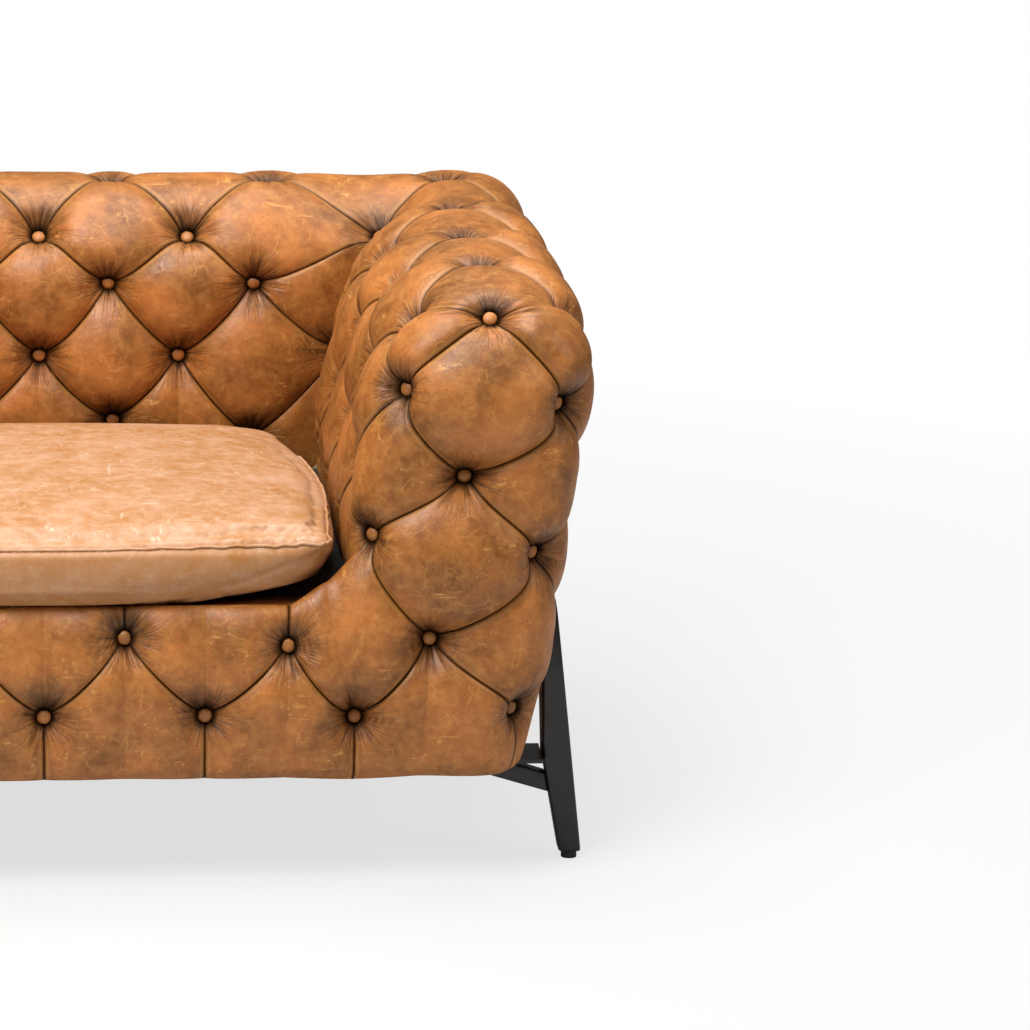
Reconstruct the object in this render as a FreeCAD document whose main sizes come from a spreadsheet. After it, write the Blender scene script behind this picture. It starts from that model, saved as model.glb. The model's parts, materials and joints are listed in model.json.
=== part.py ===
"""Deep-buttoned armchair: a timber frame in foam and tufted leather, a loose seat cushion, four raked steel legs.

Millimetres. +Z is up, -Y is the front, +X is the right as seen from the front. The origin is on the floor, under
the middle of the chair. A rise is measured up from the underside of the body, and the arms lean outwards as they
rise.
"""
import FreeCAD, Part
import math
import os
import re

import Sketcher

from FreeCAD import Vector

os.makedirs("parts", exist_ok=True)
doc = FreeCAD.newDocument("tufted_armchair")

# Driving dimensions: name, value, what it is
SIZES = (
    ("ground_gap", 135, "floor to the underside of the body"),
    ("column_half", 94, "half the button spacing across the front and the back"),
    ("side_half", 98, "half the button spacing from front to back"),
    ("first_row", 79, "rise of the lowest row of buttons"),
    ("row_rise", 95.5, "rise from one row of buttons to the next"),
    ("edge_row", 527, "rise of the buttons on the rounded top edge"),
    ("edge_inset", 12, "how far the rounded edge's buttons lie inside the side face"),
    ("top_row", 574, "rise of the buttons along the top"),
    ("end_top_row", 538, "rise of the top button on an arm's end"),
    ("corner_inset", 12, "how far a corner's buttons lie inside both faces"),
    ("lean", 0.11, "how far the arms lean outwards for each unit of rise"),
    ("inner_widening", 54, "how far an arm's inner face would stand further in than its outer face, at rise 0"),
    ("inner_flare", 0.08, "how much more the inner faces lean outwards, for each unit of rise"),
    ("rail_widening", 22, "how far an arm's end reaches in over the front rail"),
    ("seat_crown", 12, "height of the crowns beside the seat cushion"),
    ("wide_crown", 32, "height of a tuft's crown over the line of its pleats"),
    ("edge_fullness", 0.45, "crown on a rounded edge, as a share of a crown on a face"),
    ("top_fullness", 0.7, "crown along the top, as a share of a crown on a face"),
    ("narrow_crown", 17, "height of the crown half way between two rows"),
    ("pleat_lift", 3, "height of a pleat at its middle"),
    ("edge_lift", 11, "how much further a pleat stands out on a rounded edge"),
    ("button_sink", 6, "depth of a button's seat"),
    ("button_seat", 11, "half the flat on which a button sits"),
    ("leg_crown", 4, "height of the crowns that a leg flattens"),
    ("cover_depth", 10, "from the line of the pleats to the back of the padded leather"),
    ("cover_chamfer", 60, "width of the slanted corner at the back of the padded leather"),
    ("cover_shoulder", 84, "height of that slanted corner"),
    ("hem_inset", 7, "how far the leather's hem lies inside the side face"),
    ("hem_rise", 31, "rise at which the lowest folds are at their fullest"),
    ("fit_gap", 0.4, "gap between the padded leather and what it covers"),
    ("seat_line", 210.3, "rise at which the inner leather is tucked in"),
    ("rail_top", 210, "rise of the top of the front rail's roll"),
    ("rail_roll", 6, "how far that roll's top lies behind the line of the pleats"),
    ("end_depth", 49, "depth of the pad on an arm's end, behind the line of its pleats"),
    ("end_top_slant", 0.7, "rise of half the seat of an end's top button, as a share of the seat"),
    ("end_rounding", 34, "how much an end narrows at each side towards its top"),
    ("end_top_setback", 22, "how far the top of an end lies behind the line of its pleats"),
    ("end_crest", 588, "rise of the top of an arm's end"),
    ("end_bulge", 9, "how far an end's pad stands out from the arm's side faces"),
    ("core_half", 53, "half the width of the timber core of an arm or the back"),
    ("panel_wall", 9, "thickness of the plywood panels"),
    ("post_depth", 45, "front to back depth of a post"),
    ("core_top", 510, "rise of the top of the timber core"),
    ("top_rail_height", 40, "height of a top rail"),
    ("foot_rail_height", 60, "height of a bottom rail"),
    ("seat_rail_wall", 28, "thickness of the seat rails"),
    ("block_leg", 70, "leg of the triangular corner blocks"),
    ("block_height", 60, "height of the corner blocks"),
    ("block_rise", 40, "rise of the corner blocks"),
    ("webbing_width", 60, "width of the elastic webbing"),
    ("webbing_wall", 2, "thickness of the webbing"),
    ("deck_wall", 56, "thickness of the deck's foam"),
    ("dust_wall", 1, "thickness of the dust cover"),
    ("button_radius", 9, "radius of a covered button"),
    ("button_rim", 3, "height of a button's rim"),
    ("button_dome", 3, "height of a button's dome over its rim"),
    ("button_gap", 0.5, "gap between a button and its seat"),
    ("cushion_half", 350, "half the width of the seat cushion"),
    ("cushion_front", 26, "how far the cushion stands in front of the line of the rail's pleats"),
    ("cushion_back_gap", 10, "gap between the cushion and the back's crowns"),
    ("cushion_rise", 210.6, "rise of the cushion's underside"),
    ("cushion_crown", 108, "height of the crown over the cushion's underside"),
    ("cushion_skin", 6, "thickness of the cushion's leather and wadding"),
    ("cushion_corner", 70, "radius of the cushion's corners at its seam"),
    ("cushion_draw", 14, "how far a cushion's side is drawn in at its corners"),
    ("cushion_taper", 0.1, "how much narrower the cushion is at its rear, as a share of its width"),
    ("leg_setback", 107, "distance of a leg's middle behind the line of the front's pleats"),
    ("leg_rise", 196, "rise of the top of a leg"),
    ("leg_top_out", 28, "from the arm's side face at its hem out to a leg's inner face, at the leg's top"),
    ("leg_knee_out", 35, "the same at the underside of the body"),
    ("leg_foot_out", 58, "the same at the leg's foot"),
    ("leg_top_wall", 19, "thickness of a leg at its top"),
    ("leg_foot_wall", 27, "thickness of a leg at its foot"),
    ("leg_round", 23, "half the width of a leg at its top"),
    ("leg_shoulder_rise", 99, "rise over which a leg has its full width"),
    ("leg_thigh", 19, "half the width of a leg just over the underside of the body"),
    ("leg_thigh_rise", 23, "rise of that place"),
    ("leg_waist", 17, "half the width of a leg half way down from the body"),
    ("leg_foot_half", 13, "half the width of a leg at its foot"),
    ("glide_height", 9, "height of a leg's glide"),
    ("glide_radius", 9.5, "radius of a leg's glide"),
    ("plate_wall", 5, "thickness of a leg's mounting plate"),
    ("plate_half", 34, "half the width of a mounting plate"),
    ("plate_reach", 149, "reach of a mounting plate inwards from the leg"),
    ("strut_half", 10, "half the width of a strut"),
    ("strut_reach", 134, "reach of a strut inwards from the leg, under the plate"),
    ("strut_base", 76, "length of a strut's foot under the plate"),
    ("strut_top_drop", 26, "drop of the upper edge of a strut at the leg"),
    ("strut_low_drop", 50, "drop of the lower edge of a strut at the leg"),
    ("screw_radius", 3, "radius of the plates' screws"),
    ("screw_length", 30, "length of the plates' screws"),
    ("screw_head", 6, "radius of a screw's head"),
    ("screw_head_height", 3, "height of a screw's head"),
    ("screw_gap", 0.2, "gap round a screw"),
    ("screw_offset", 12, "how far the screws' middle lies outside an arm's middle"),
    ("screw_spread", 20, "half the distance between two screws, along and across a plate"),
    ("joint_gap", 0.2, "gap between parts that are bolted or stapled together"),
)
SIDE_COLUMNS = 9        # half spacings from the front corner to the rear corner
SEAT_COLUMNS = 4        # half spacings from the middle of the seat to an arm
ARM_MIDDLE_COLUMN = 5   # half spacings from the middle of the seat to the middle of an arm
SIDE_ROWS = 5           # rows of buttons on a side face, below the rounded edge
INNER_ROWS = 3          # rows of buttons on an inner face, from the third one up
RAIL_ROWS = 2           # rows of buttons on the front rail
LENGTHWISE_STRAPS = 5
CROSSWISE_STRAPS = 6
SADDLE_TOP = SIDE_ROWS + 1              # station on a saddle's top
ROUNDED_EDGES = (SIDE_ROWS, SIDE_ROWS + 2)      # stations on a saddle's rounded edges
FLATTEST = 0.01         # height under which a crown is drawn straight
THIRD_TURN_SINE = 0.87  # sine of 60 degrees, for the rounded top of a leg
LEAN_ONSET = 6          # how late towards the arms the back's columns start to lean, as a power
ROUND_CORNER = 0.29     # how far a round corner's middle lies inside the square one, as a share of its radius
BUTTON_RINGS = ((1, 0), (0.85, 0.5), (0.5, 0.87), (0.15, 1))    # a dome's rings: share of radius, of height
SIDES = {"left": -1, "right": 1}
ENDS = {"front": -1, "rear": 1}

sheet = doc.addObject("Spreadsheet::Sheet", "Sizes")
for row, (name, value, note) in enumerate(SIZES, start=1):
    sheet.set("A%d" % row, name)
    sheet.set("B%d" % row, str(value))
    sheet.set("C%d" % row, note)
    sheet.setAlias("B%d" % row, name)
doc.recompute()


def size(formula):
    """Work out a driving dimension, or a formula of them, as a number."""
    return float(sheet.evalExpression(formula))


def bound(formula):
    """Turn a formula of driving dimensions into an expression for another object."""
    return re.sub(r"[a-z]\w*", lambda word: "Sizes." + word.group(), formula)


# Places that several parts share, as formulas of the driving dimensions
ARM_MIDDLE = "(%d * column_half)" % ARM_MIDDLE_COLUMN
FRONT_LINE = "(-%.1f * side_half)" % (SIDE_COLUMNS / 2)
BACK_MIDDLE = "(%.1f * side_half)" % (SIDE_COLUMNS / 2 - 1)
CORE_FRONT = "(%s + end_depth)" % FRONT_LINE
CORE_LENGTH = "(-2 * %s)" % CORE_FRONT
CORE_INSIDE = "(core_half - panel_wall)"
POST_TOP = "(core_top - top_rail_height)"
POST_HEIGHT = "(%s - foot_rail_height)" % POST_TOP
SEAT_END = "(%s - core_half - joint_gap)" % ARM_MIDDLE
SEAT_BACK = "(%s - core_half - joint_gap)" % BACK_MIDDLE
SEAT_INSIDE = "(%s - seat_rail_wall)" % SEAT_END
RAIL_INSIDE = "(%s + seat_rail_wall)" % CORE_FRONT
REAR_RAIL = "(%s - seat_rail_wall)" % SEAT_BACK
BACK_HALF = "(%d * column_half - fit_gap)" % SEAT_COLUMNS
SEAT_RAIL_HEIGHT = "(rail_top - deck_wall - 2 * webbing_wall)"
FOAM_ARM = "(column_half - cover_depth - fit_gap)"
FOAM_BACK = "(side_half - cover_depth - fit_gap)"
FOAM_TOP = "(top_row - cover_depth - fit_gap)"
FOAM_SHOULDER = "(top_row - cover_depth - cover_shoulder)"
DUST_BOTTOM = "(ground_gap - joint_gap - dust_wall)"
PLATE_TOP = "(%s - joint_gap)" % DUST_BOTTOM
PLATE_BOTTOM = "(%s - plate_wall)" % PLATE_TOP
SIDE_FACE = "(%s + column_half)" % ARM_MIDDLE
LEG_KNEE = "(%s + leg_knee_out)" % SIDE_FACE
LEG_SLOPE = "((leg_foot_out - leg_knee_out) / (ground_gap - glide_height))"
LEG_MIDDLE = "(-%s - leg_setback)" % FRONT_LINE
FOOT_MIDDLE = "(%s + leg_foot_out + leg_foot_wall / 2)" % SIDE_FACE
CUSHION_FRONT = "(%s - cushion_front)" % FRONT_LINE
CUSHION_BACK = "(%s - side_half - wide_crown - cushion_back_gap)" % BACK_MIDDLE
PARTS = {}


def keep(label, item):
    """Name a finished piece, which is written to a file of that name."""
    item.Label = label
    PARTS[label] = item
    return item


def prism(label, plane, corners, start, length):
    """Pad an outline of formulas. On XZ it runs along +Y, on YZ along +X and on XY along +Z, from start."""
    body = doc.addObject("PartDesign::Body", label)
    outline = body.newObject("Sketcher::SketchObject", label + "_outline")
    outline.AttachmentSupport = [(face, "") for face in body.Origin.OriginFeatures if face.Role == plane + "_Plane"]
    outline.MapMode = "FlatFace"
    places = [(size(across), size(up)) for across, up in corners]
    points = [Vector(across, up, 0) for across, up in places]
    count = len(points)
    for index in range(count):
        outline.addGeometry(Part.LineSegment(points[index], points[(index + 1) % count]), False)
    for index in range(count):
        outline.addConstraint(Sketcher.Constraint("Coincident", index, 2, (index + 1) % count, 1))
    for index, corner in enumerate(corners):
        for kind, formula, place in zip(("DistanceX", "DistanceY"), corner, places[index]):
            number = outline.addConstraint(Sketcher.Constraint(kind, index, 1, place))
            outline.setExpression("Constraints[%d]" % number, bound(formula))
    pad = body.newObject("PartDesign::Pad", label + "_pad")
    pad.Profile = outline
    pad.Reversed = plane == "XZ"
    pad.setExpression("Length", bound(length))
    axis = {"XZ": "y", "YZ": "x", "XY": "z"}[plane]
    body.setExpression("Placement.Base." + axis, bound(start))
    return body


def block(label, corner, extent):
    """Make a rectangular block from formulas of its low corner and its length, width and height."""
    box = doc.addObject("Part::Box", label)
    for axis, formula in zip("xyz", corner):
        box.setExpression("Placement.Base." + axis, bound(formula))
    for name, formula in zip(("Length", "Width", "Height"), extent):
        box.setExpression(name, bound(formula))
    return box


def group(label, items):
    """Gather like pieces in one named part."""
    compound = doc.addObject("Part::Compound", label)
    compound.Links = items
    return compound


def common(label, base, tool):
    """Keep what two shapes share."""
    shared = doc.addObject("Part::Common", label)
    shared.Base = base
    shared.Tool = tool
    return shared


def cut(label, base, tool):
    """Take one shape from another."""
    rest = doc.addObject("Part::Cut", label)
    rest.Base = base
    rest.Tool = tool
    return rest


def leaning(side, across, rise):
    """Return the X and Z of a point in an arm, as formulas: across from the arm's middle, and its rise."""
    return ("%d * (%s + (%s) + lean * (%s))" % (side, ARM_MIDDLE, across, rise), "ground_gap + (%s)" % rise)


def arm_prism(label, side, corners, start=CORE_FRONT, length=CORE_LENGTH):
    """Pad an outline that leans with an arm, along the arm."""
    return prism(label, "XZ", [leaning(side, across, rise) for across, rise in corners], start, length)


def slab(low, high, bottom, top):
    """Return the corners of a slab in an arm, from its two edges and its bottom and top rises."""
    return [(low, bottom), (high, bottom), (high, top), (low, top)]


# Tufted covers: sections of crowns and button seats, joined by ruled faces
def pair(vector, other, share):
    """Return the point that lies a share of the way from one point to another."""
    return vector + (other - vector) * share


class Station:
    """A place in a section at which either a button is seated or a tuft is at its fullest."""

    def __init__(self, place, outward):
        self.place = Vector(place[0], place[1], 0)
        self.outward = Vector(outward[0], outward[1], 0).normalize()
        self.along = Vector(-self.outward.y, self.outward.x, 0)


def crown_edge(before, station, height, after):
    """Return an even arch from one point to another, up to a crown over a station, or straight for no height."""
    middle = pair(before, after, 0.5)
    if height is None:
        return before, middle, after
    peak = station.place + station.outward * height
    outward = Vector(before.y - after.y, after.x - before.x, 0).normalize()
    if outward.dot(peak - middle) < 0:
        outward = -outward
    return before, middle + outward * outward.dot(peak - middle), after


def row_section(start, enter, stations, seated, leave, stop, crown):
    """Return a section through a row of buttons as edges of 2, or 3, points."""
    sink = size("button_sink")
    half = size("button_seat")
    seats = {}
    for index, station in enumerate(stations):
        if seated(index):
            middle = station.place - station.outward * sink
            seats[index] = (middle - station.along * half, middle + station.along * half)
    edges = [(start, seats[0][0] if 0 in seats else enter)]
    last = len(stations) - 1
    for index, station in enumerate(stations):
        if index in seats:
            edges.append(seats[index])
        else:
            before = seats[index - 1][1] if index else enter
            after = seats[index + 1][0] if index < last else leave
            edges.append(crown_edge(before, station, crown(index), after))
    edges.append((seats[last][1] if last in seats else leave, stop))
    return edges


def between_section(start, enter, stations, leave, stop, crown, lift):
    """Return a section half way between two rows, where the pleats cross it between the stations."""
    breaks = [enter]
    for index in range(len(stations) - 1):
        one, other = stations[index], stations[index + 1]
        outward = (one.outward + other.outward).normalize()
        breaks.append(pair(one.place, other.place, 0.5) + outward * lift(index))
    breaks.append(leave)
    edges = [(start, enter)]
    for index, station in enumerate(stations):
        edges.append(crown_edge(breaks[index], station, crown(index), breaks[index + 1]))
    edges.append((leave, stop))
    return edges


def wire_of(edges, back, place):
    """Close a section with straight edges through its back points, and put it in its place."""
    made = []
    for edge in edges:
        points = [place(point) for point in edge]
        if len(points) == 3 and points[1].distanceToLine(points[0], points[2] - points[0]) > FLATTEST:
            made.append(Part.Arc(*points).toShape())
        else:
            made.append(Part.LineSegment(points[0], points[-1]).toShape())
    stops = [edges[-1][-1]] + back + [edges[0][0]]
    for one, other in zip(stops, stops[1:]):
        made.append(Part.LineSegment(place(one), place(other)).toShape())
    return Part.Wire(made)


class Cover:
    """Padded leather made of sections, which remembers where its buttons sit."""

    def __init__(self):
        self.wires = []
        self.seats = []
        self.waiting = None

    def add(self, edges, stations, back, place):
        """Add a section. Two sections in turn through one row of buttons make the row's seats."""
        self.wires.append(wire_of(edges, back, place))
        origin = place(Vector(0, 0, 0))
        found = {}
        for index, station in enumerate(stations):
            if len(edges[index + 1]) == 2:
                found[index] = ([place(point) for point in edges[index + 1]], place(station.outward) - origin)
        if found and self.waiting:
            for index, ((one, other), outward) in found.items():
                first, second = self.waiting[index][0]
                normal = (other - one).cross(first - one).normalize()
                if normal.dot(outward) < 0:
                    normal = -normal
                self.seats.append(((one + other + first + second) * 0.25, normal))
            found = None
        self.waiting = found

    def solid(self, label):
        """Join the sections into one solid with ruled faces."""
        feature = doc.addObject("Part::Feature", label)
        feature.Shape = Part.makeLoft(self.wires, True, True)
        return feature


def flat(place):
    """Return a point of a section from its two numbers."""
    return Vector(place[0], place[1], 0)


def inner_shift(rise):
    """Return how far an arm's inner face stands in from the even lean, at a rise."""
    rail, seat = size("first_row + row_rise + button_seat"), size("first_row + 1.5 * row_rise")
    if rise <= rail:
        return size("rail_widening")
    over = size("inner_widening") - size("inner_flare") * max(rise, seat)
    return over + (size("rail_widening") - over) * max(0.0, (seat - rise) / (seat - rail))


def no_shift(_):
    """Leave an inner face where it is."""
    return 0


def saddle_stations(half, shift):
    """Return the stations of a cover that goes up an outer face, over the top and down the inner face."""
    rises = [size("first_row") + index * size("row_rise") for index in range(SIDE_ROWS)]
    edge = (half - size("edge_inset"), size("edge_row"))
    outer = [Station((half, rise), (1, 0)) for rise in rises] + [Station(edge, (1, 1))]
    top = [Station((-shift(size("top_row")) / 2, size("top_row")), (0, 1))]
    inner = [Station((-edge[0] - shift(edge[1]), edge[1]), (-1, 1))]
    inner += [Station((-half - shift(rise), rise), (-1, 0)) for rise in reversed(rises[-INNER_ROWS:])]
    return outer + top + inner


def add_saddle(cover, half, column, odd, place, flattened, pressed, shift=no_shift):
    """Add one section of a saddle-shaped cover at a column, or at the middle between two columns."""
    stations = saddle_stations(half, shift)
    tucked = size("seat_line")
    face = -half - shift(size("first_row + 1.5 * row_rise"))
    start = flat((half - size("hem_inset"), 0))
    stop = flat((face + size("hem_inset"), tucked))
    inside = half - size("cover_depth")
    crest = size("top_row") - size("cover_depth")
    shoulder = crest - size("cover_shoulder")
    narrow = inside - size("cover_chamfer")
    back = [flat(point) for point in ((-inside, tucked), (-inside, shoulder), (-narrow, crest), (narrow, crest),
                                      (inside, shoulder), (inside, 0))]
    whole = column == int(column)
    height = size("wide_crown") if whole else size("narrow_crown")

    def crown(index):
        if flattened(index):
            return 0 if index in ROUNDED_EDGES else None
        if index in ROUNDED_EDGES:
            return height * size("edge_fullness")
        if index == SADDLE_TOP:
            return height * size("top_fullness")
        if index == len(stations) - 1 and shift is not no_shift:
            return min(height, size("seat_crown"))
        return min(height, size("leg_crown")) if pressed(index) else height

    def lift(index):
        if flattened(index):
            return 0
        rounded = index in ROUNDED_EDGES or index + 1 in ROUNDED_EDGES
        return size("pleat_lift") + (size("edge_lift") if rounded else 0)

    if whole:
        enter = flat((half - size("hem_inset") / 2, size("hem_rise") / 2))
        leave = flat((face, tucked + size("button_seat")))
        edges = row_section(start, enter, stations, lambda index: (index + int(column) + odd) % 2 == 0,
                            leave, stop, crown)
    else:
        enter = flat((half, size("hem_rise")))
        leave = flat((face, tucked + size("row_rise") / 4))
        edges = between_section(start, enter, stations, leave, stop, crown, lift)
    cover.add(edges, stations, back, place)


def columns_of(low, high):
    """Return the columns of a saddle's sections: both sides of each row of seats, and the middles between."""
    half = size("button_seat")
    steps = []
    column = low
    while column < high:
        steps.append((column, 0))
        whole = round(column + 0.5)
        steps += [(whole, -half), (whole, half)]
        column += 1
    return steps + [(high, 0)]


def arm_cover(side):
    """Make the tufted leather of an arm: its outer face, top and inner face."""
    cover = Cover()
    middle, lean, ground = size(ARM_MIDDLE), size("lean"), size("ground_gap")
    beside_legs = (1, SIDE_COLUMNS - 1)
    for column, offset in columns_of(0.5, SIDE_COLUMNS - 0.5):
        along = (column - SIDE_COLUMNS / 2) * size("side_half") + offset
        in_back = column > SIDE_COLUMNS - 3
        by_leg = min(abs(column - leg) for leg in beside_legs) < 1

        def place(point, along=along):
            return Vector(side * (middle + point.x + lean * point.y), along, ground + point.y)

        add_saddle(cover, size("column_half"), column, 0, place,
                   lambda index, hidden=in_back: hidden and index > SADDLE_TOP,
                   lambda index, beside=by_leg: beside and index < RAIL_ROWS,
                   no_shift if in_back else inner_shift)
    return cover


def back_cover():
    """Make the tufted leather of the back: its outer face, top and inner face, between the arms."""
    cover = Cover()
    middle, lean, ground = size(BACK_MIDDLE), size("lean"), size("ground_gap")
    steps = columns_of(0.5 - SEAT_COLUMNS, SEAT_COLUMNS - 0.5)
    steps = [(-SEAT_COLUMNS, size("fit_gap"))] + steps + [(SEAT_COLUMNS, -size("fit_gap"))]
    for column, offset in steps:
        across = column * size("column_half") + offset
        leaning_share = math.copysign((abs(column) / SEAT_COLUMNS) ** LEAN_ONSET, column)

        def place(point, across=across, share=leaning_share):
            return Vector(across + share * lean * point.y, middle + point.x, ground + point.y)

        add_saddle(cover, size("side_half"), column, 1, place, lambda index: False, lambda index: False)
        if abs(column) == SEAT_COLUMNS:
            cover.waiting = None
    return cover


def row_heights(rows):
    """Return the rises of the sections up a face that rises from the hem: rise, row of buttons, and shape."""
    half = size("button_seat")
    first, step = size("first_row"), size("row_rise")
    heights = [(0, None, "hem"), (size("hem_rise"), None, "between")]
    for row in range(rows):
        rise = first + row * step
        heights += [(rise - half, row, "row"), (rise + half, row, "row"), (rise + step / 2, None, "between")]
    return heights[:-1]


def add_front_section(cover, shape, row, stations, start, enter, leave, stop, back, place, fullness=1):
    """Add one section of a cover that is made from the hem up."""
    heights = {"hem": -size("hem_inset"), "between": size("narrow_crown"), "crest": size("pleat_lift")}
    if shape == "row":
        edges = row_section(start, enter, stations, lambda index: (index + row) % 2 == 0, leave, stop,
                            lambda index: size("wide_crown") * fullness)
    else:
        edges = between_section(start, enter, stations, leave, stop, lambda index: heights[shape],
                                lambda index: size("pleat_lift"))
    cover.add(edges, stations, back, place)


def arm_end_cover(side, end):
    """Make the pad on the front or rear end of an arm, which closes the arm's cover."""
    cover = Cover()
    middle, lean, ground = size(ARM_MIDDLE), size("lean"), size("ground_gap")
    line = -size(FRONT_LINE)
    half, inset, seat = size("column_half"), size("corner_inset"), size("button_seat")
    behind = -size("end_depth") + size("fit_gap")
    last_row = size("first_row") + (SIDE_ROWS - 1) * size("row_rise")
    top = size("end_top_row")
    slant = seat * size("end_top_slant")
    heights = row_heights(SIDE_ROWS) + [((last_row + top) / 2, None, "between"), (top - slant, SIDE_ROWS, "row"),
                                        (top + slant, SIDE_ROWS, "row"), (size("top_row"), None, "between"),
                                        (size("end_crest"), None, "crest")]
    for rise, row, shape in heights:
        above = max(0.0, rise - last_row) / (size("end_crest") - last_row)
        wing = half - size("end_rounding") * above ** 2
        forward = -size("end_top_setback") * above ** 3
        bulge = 0 if shape == "hem" else size("end_bulge")
        inner_bulge = bulge if rise > size("rail_top + row_rise / 2") else -size("fit_gap")
        inner_wing = wing + (inner_shift(rise) if end < 0 else 0)
        outer = Station((wing - inset, forward - inset), (1, 1))
        stations = [outer, Station(((wing - inner_wing) / 2, forward), (0, 1))]
        start, stop = flat((wing, behind)), flat((-inner_wing, behind))
        enter = flat((wing + bulge, forward - 2 * inset))
        if rise < size("rail_top") or end > 0:
            stations.append(Station((-inner_wing + seat, forward), (0, 1)))
            fullness = 0 if shape in ("hem", "crest") else size("narrow_crown")
            leave = flat((-inner_wing + size("fit_gap"), forward + fullness))
        else:
            stations.append(Station((-inner_wing + inset, forward - inset), (-1, 1)))
            leave = flat((-inner_wing - inner_bulge, forward - 2 * inset))

        def place(point, rise=rise):
            return Vector(side * (middle + point.x + lean * rise), end * (line + point.y), ground + rise)

        parity = None if row is None else row + (1 if end > 0 else 0)
        fullness = 1 if rise < last_row + seat + 1 else size("edge_fullness")
        add_front_section(cover, shape, parity, stations, start, enter, leave, stop, [], place, fullness)
    return cover


def rail_cover():
    """Make the front rail's tufted leather."""
    cover = Cover()
    lean, ground, line = size("lean"), size("ground_gap"), size(FRONT_LINE)
    behind = -size("cover_depth")
    columns = range(SEAT_COLUMNS - 1, -SEAT_COLUMNS, -1)
    for rise, row, shape in row_heights(RAIL_ROWS) + [(size("rail_top"), None, "crest")]:
        forward = -size("rail_roll") if shape == "crest" else 0
        span = size("column_half") + lean * rise / SEAT_COLUMNS
        end = SEAT_COLUMNS * span - inner_shift(rise) - size("fit_gap")
        stations = [Station((column * span, forward), (0, 1)) for column in columns]
        if shape == "row":
            at_end = -size("button_sink") if row % 2 == 0 else size("narrow_crown")
            reach = size("button_seat")
        else:
            at_end = forward - (size("hem_inset") if shape == "hem" else 0)
            reach = (span - inner_shift(rise)) / 2
        start, stop = flat((end, at_end)), flat((-end, at_end))
        enter, leave = flat((end - reach, at_end)), flat((-end + reach, at_end))

        def place(point, rise=rise):
            return Vector(point.x, line - point.y, ground + rise)

        parity = None if row is None else row + 1
        add_front_section(cover, shape, parity, stations, start, enter, leave, stop,
                          [flat((-end, behind)), flat((end, behind))], place)
    return cover


# Covered buttons: one domed disc for each button's seat
def button_at(place, outward):
    """Make a covered button on the seat at a place, facing outwards: a disc with a domed face."""
    radius, rim, dome = size("button_radius"), size("button_rim"), size("button_dome")
    foot = place + outward * size("button_gap")
    rings = [(radius, 0)] + [(share * radius, rim + up * dome) for share, up in BUTTON_RINGS]
    wires = [Part.Wire(Part.makeCircle(wide, foot + outward * up, outward)) for wide, up in rings]
    return Part.makeLoft(wires, True, True)


def buttons_on(label, *covers):
    """Make the buttons of one or more covers as one part of separate solids, but none behind a leg."""
    seats = []
    for place, outward in sum((cover.seats for cover in covers), []):
        behind_leg = (abs(abs(place.y) - size(LEG_MIDDLE)) < size("leg_round")
                      and place.z < size("ground_gap + leg_rise") and abs(place.x) > size(ARM_MIDDLE))
        if not behind_leg:
            seats.append((place, outward))
    buttons = doc.addObject("Part::Feature", label)
    buttons.Shape = Part.makeCompound([button_at(place, outward) for place, outward in seats])
    return buttons


# The timber core and the foam of the arms
def make_arm(name, side):
    """Make one arm: timber, plywood, foam, tufted leather and buttons."""
    inside = CORE_INSIDE
    keep("arm_bottom_rail_" + name, cut("bottom_rail_cut_" + name, arm_prism(
        "bottom_rail_" + name, side, slab("-" + inside, inside, "0", "foot_rail_height")), screw_holes))
    keep("arm_top_rail_" + name, arm_prism("top_rail_" + name, side, slab("-" + inside, inside, POST_TOP,
                                                                         "core_top")))
    starts = {"front": CORE_FRONT, "rear": "(-%s - post_depth)" % CORE_FRONT}
    for end, start in starts.items():
        keep("arm_%s_post_%s" % (end, name), arm_prism(
            "post_%s_%s" % (end, name), side, slab("-" + inside, inside, "foot_rail_height", POST_TOP), start,
            "post_depth"))
    keep("arm_outer_panel_" + name, arm_prism("outer_panel_" + name, side,
                                              slab(inside, "core_half", "0", "core_top")))
    keep("arm_inner_panel_" + name, arm_prism("inner_panel_" + name, side,
                                              slab("-core_half", "-" + inside, "0", "core_top")))
    keep("arm_foam_" + name, arm_prism("foam_" + name, side, saddle_outline(FOAM_ARM)))
    cover = arm_cover(side)
    ends = {end: arm_end_cover(side, toward) for end, toward in ENDS.items()}
    keep("arm_cover_" + name, cover.solid("arm_leather_" + name))
    for end, end_cover in ends.items():
        keep("arm_%s_pad_%s" % (end, name), end_cover.solid("arm_%s_leather_%s" % (end, name)))
    keep("arm_buttons_" + name, buttons_on("arm_side_buttons_" + name, cover))
    keep("arm_end_buttons_" + name, buttons_on("arm_end_discs_" + name, *ends.values()))


def saddle_outline(half):
    """Return the foam's outline under a saddle-shaped cover, round the timber core."""
    narrow = "(%s - cover_chamfer)" % half
    core = "(core_half + joint_gap)"
    core_top = "(core_top + joint_gap)"
    return [(half, "0"), (half, FOAM_SHOULDER), (narrow, FOAM_TOP), ("-" + narrow, FOAM_TOP),
            ("-" + half, FOAM_SHOULDER), ("-" + half, "seat_line"), ("-" + core, "seat_line"),
            ("-" + core, core_top), (core, core_top), (core, "0")]


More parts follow.
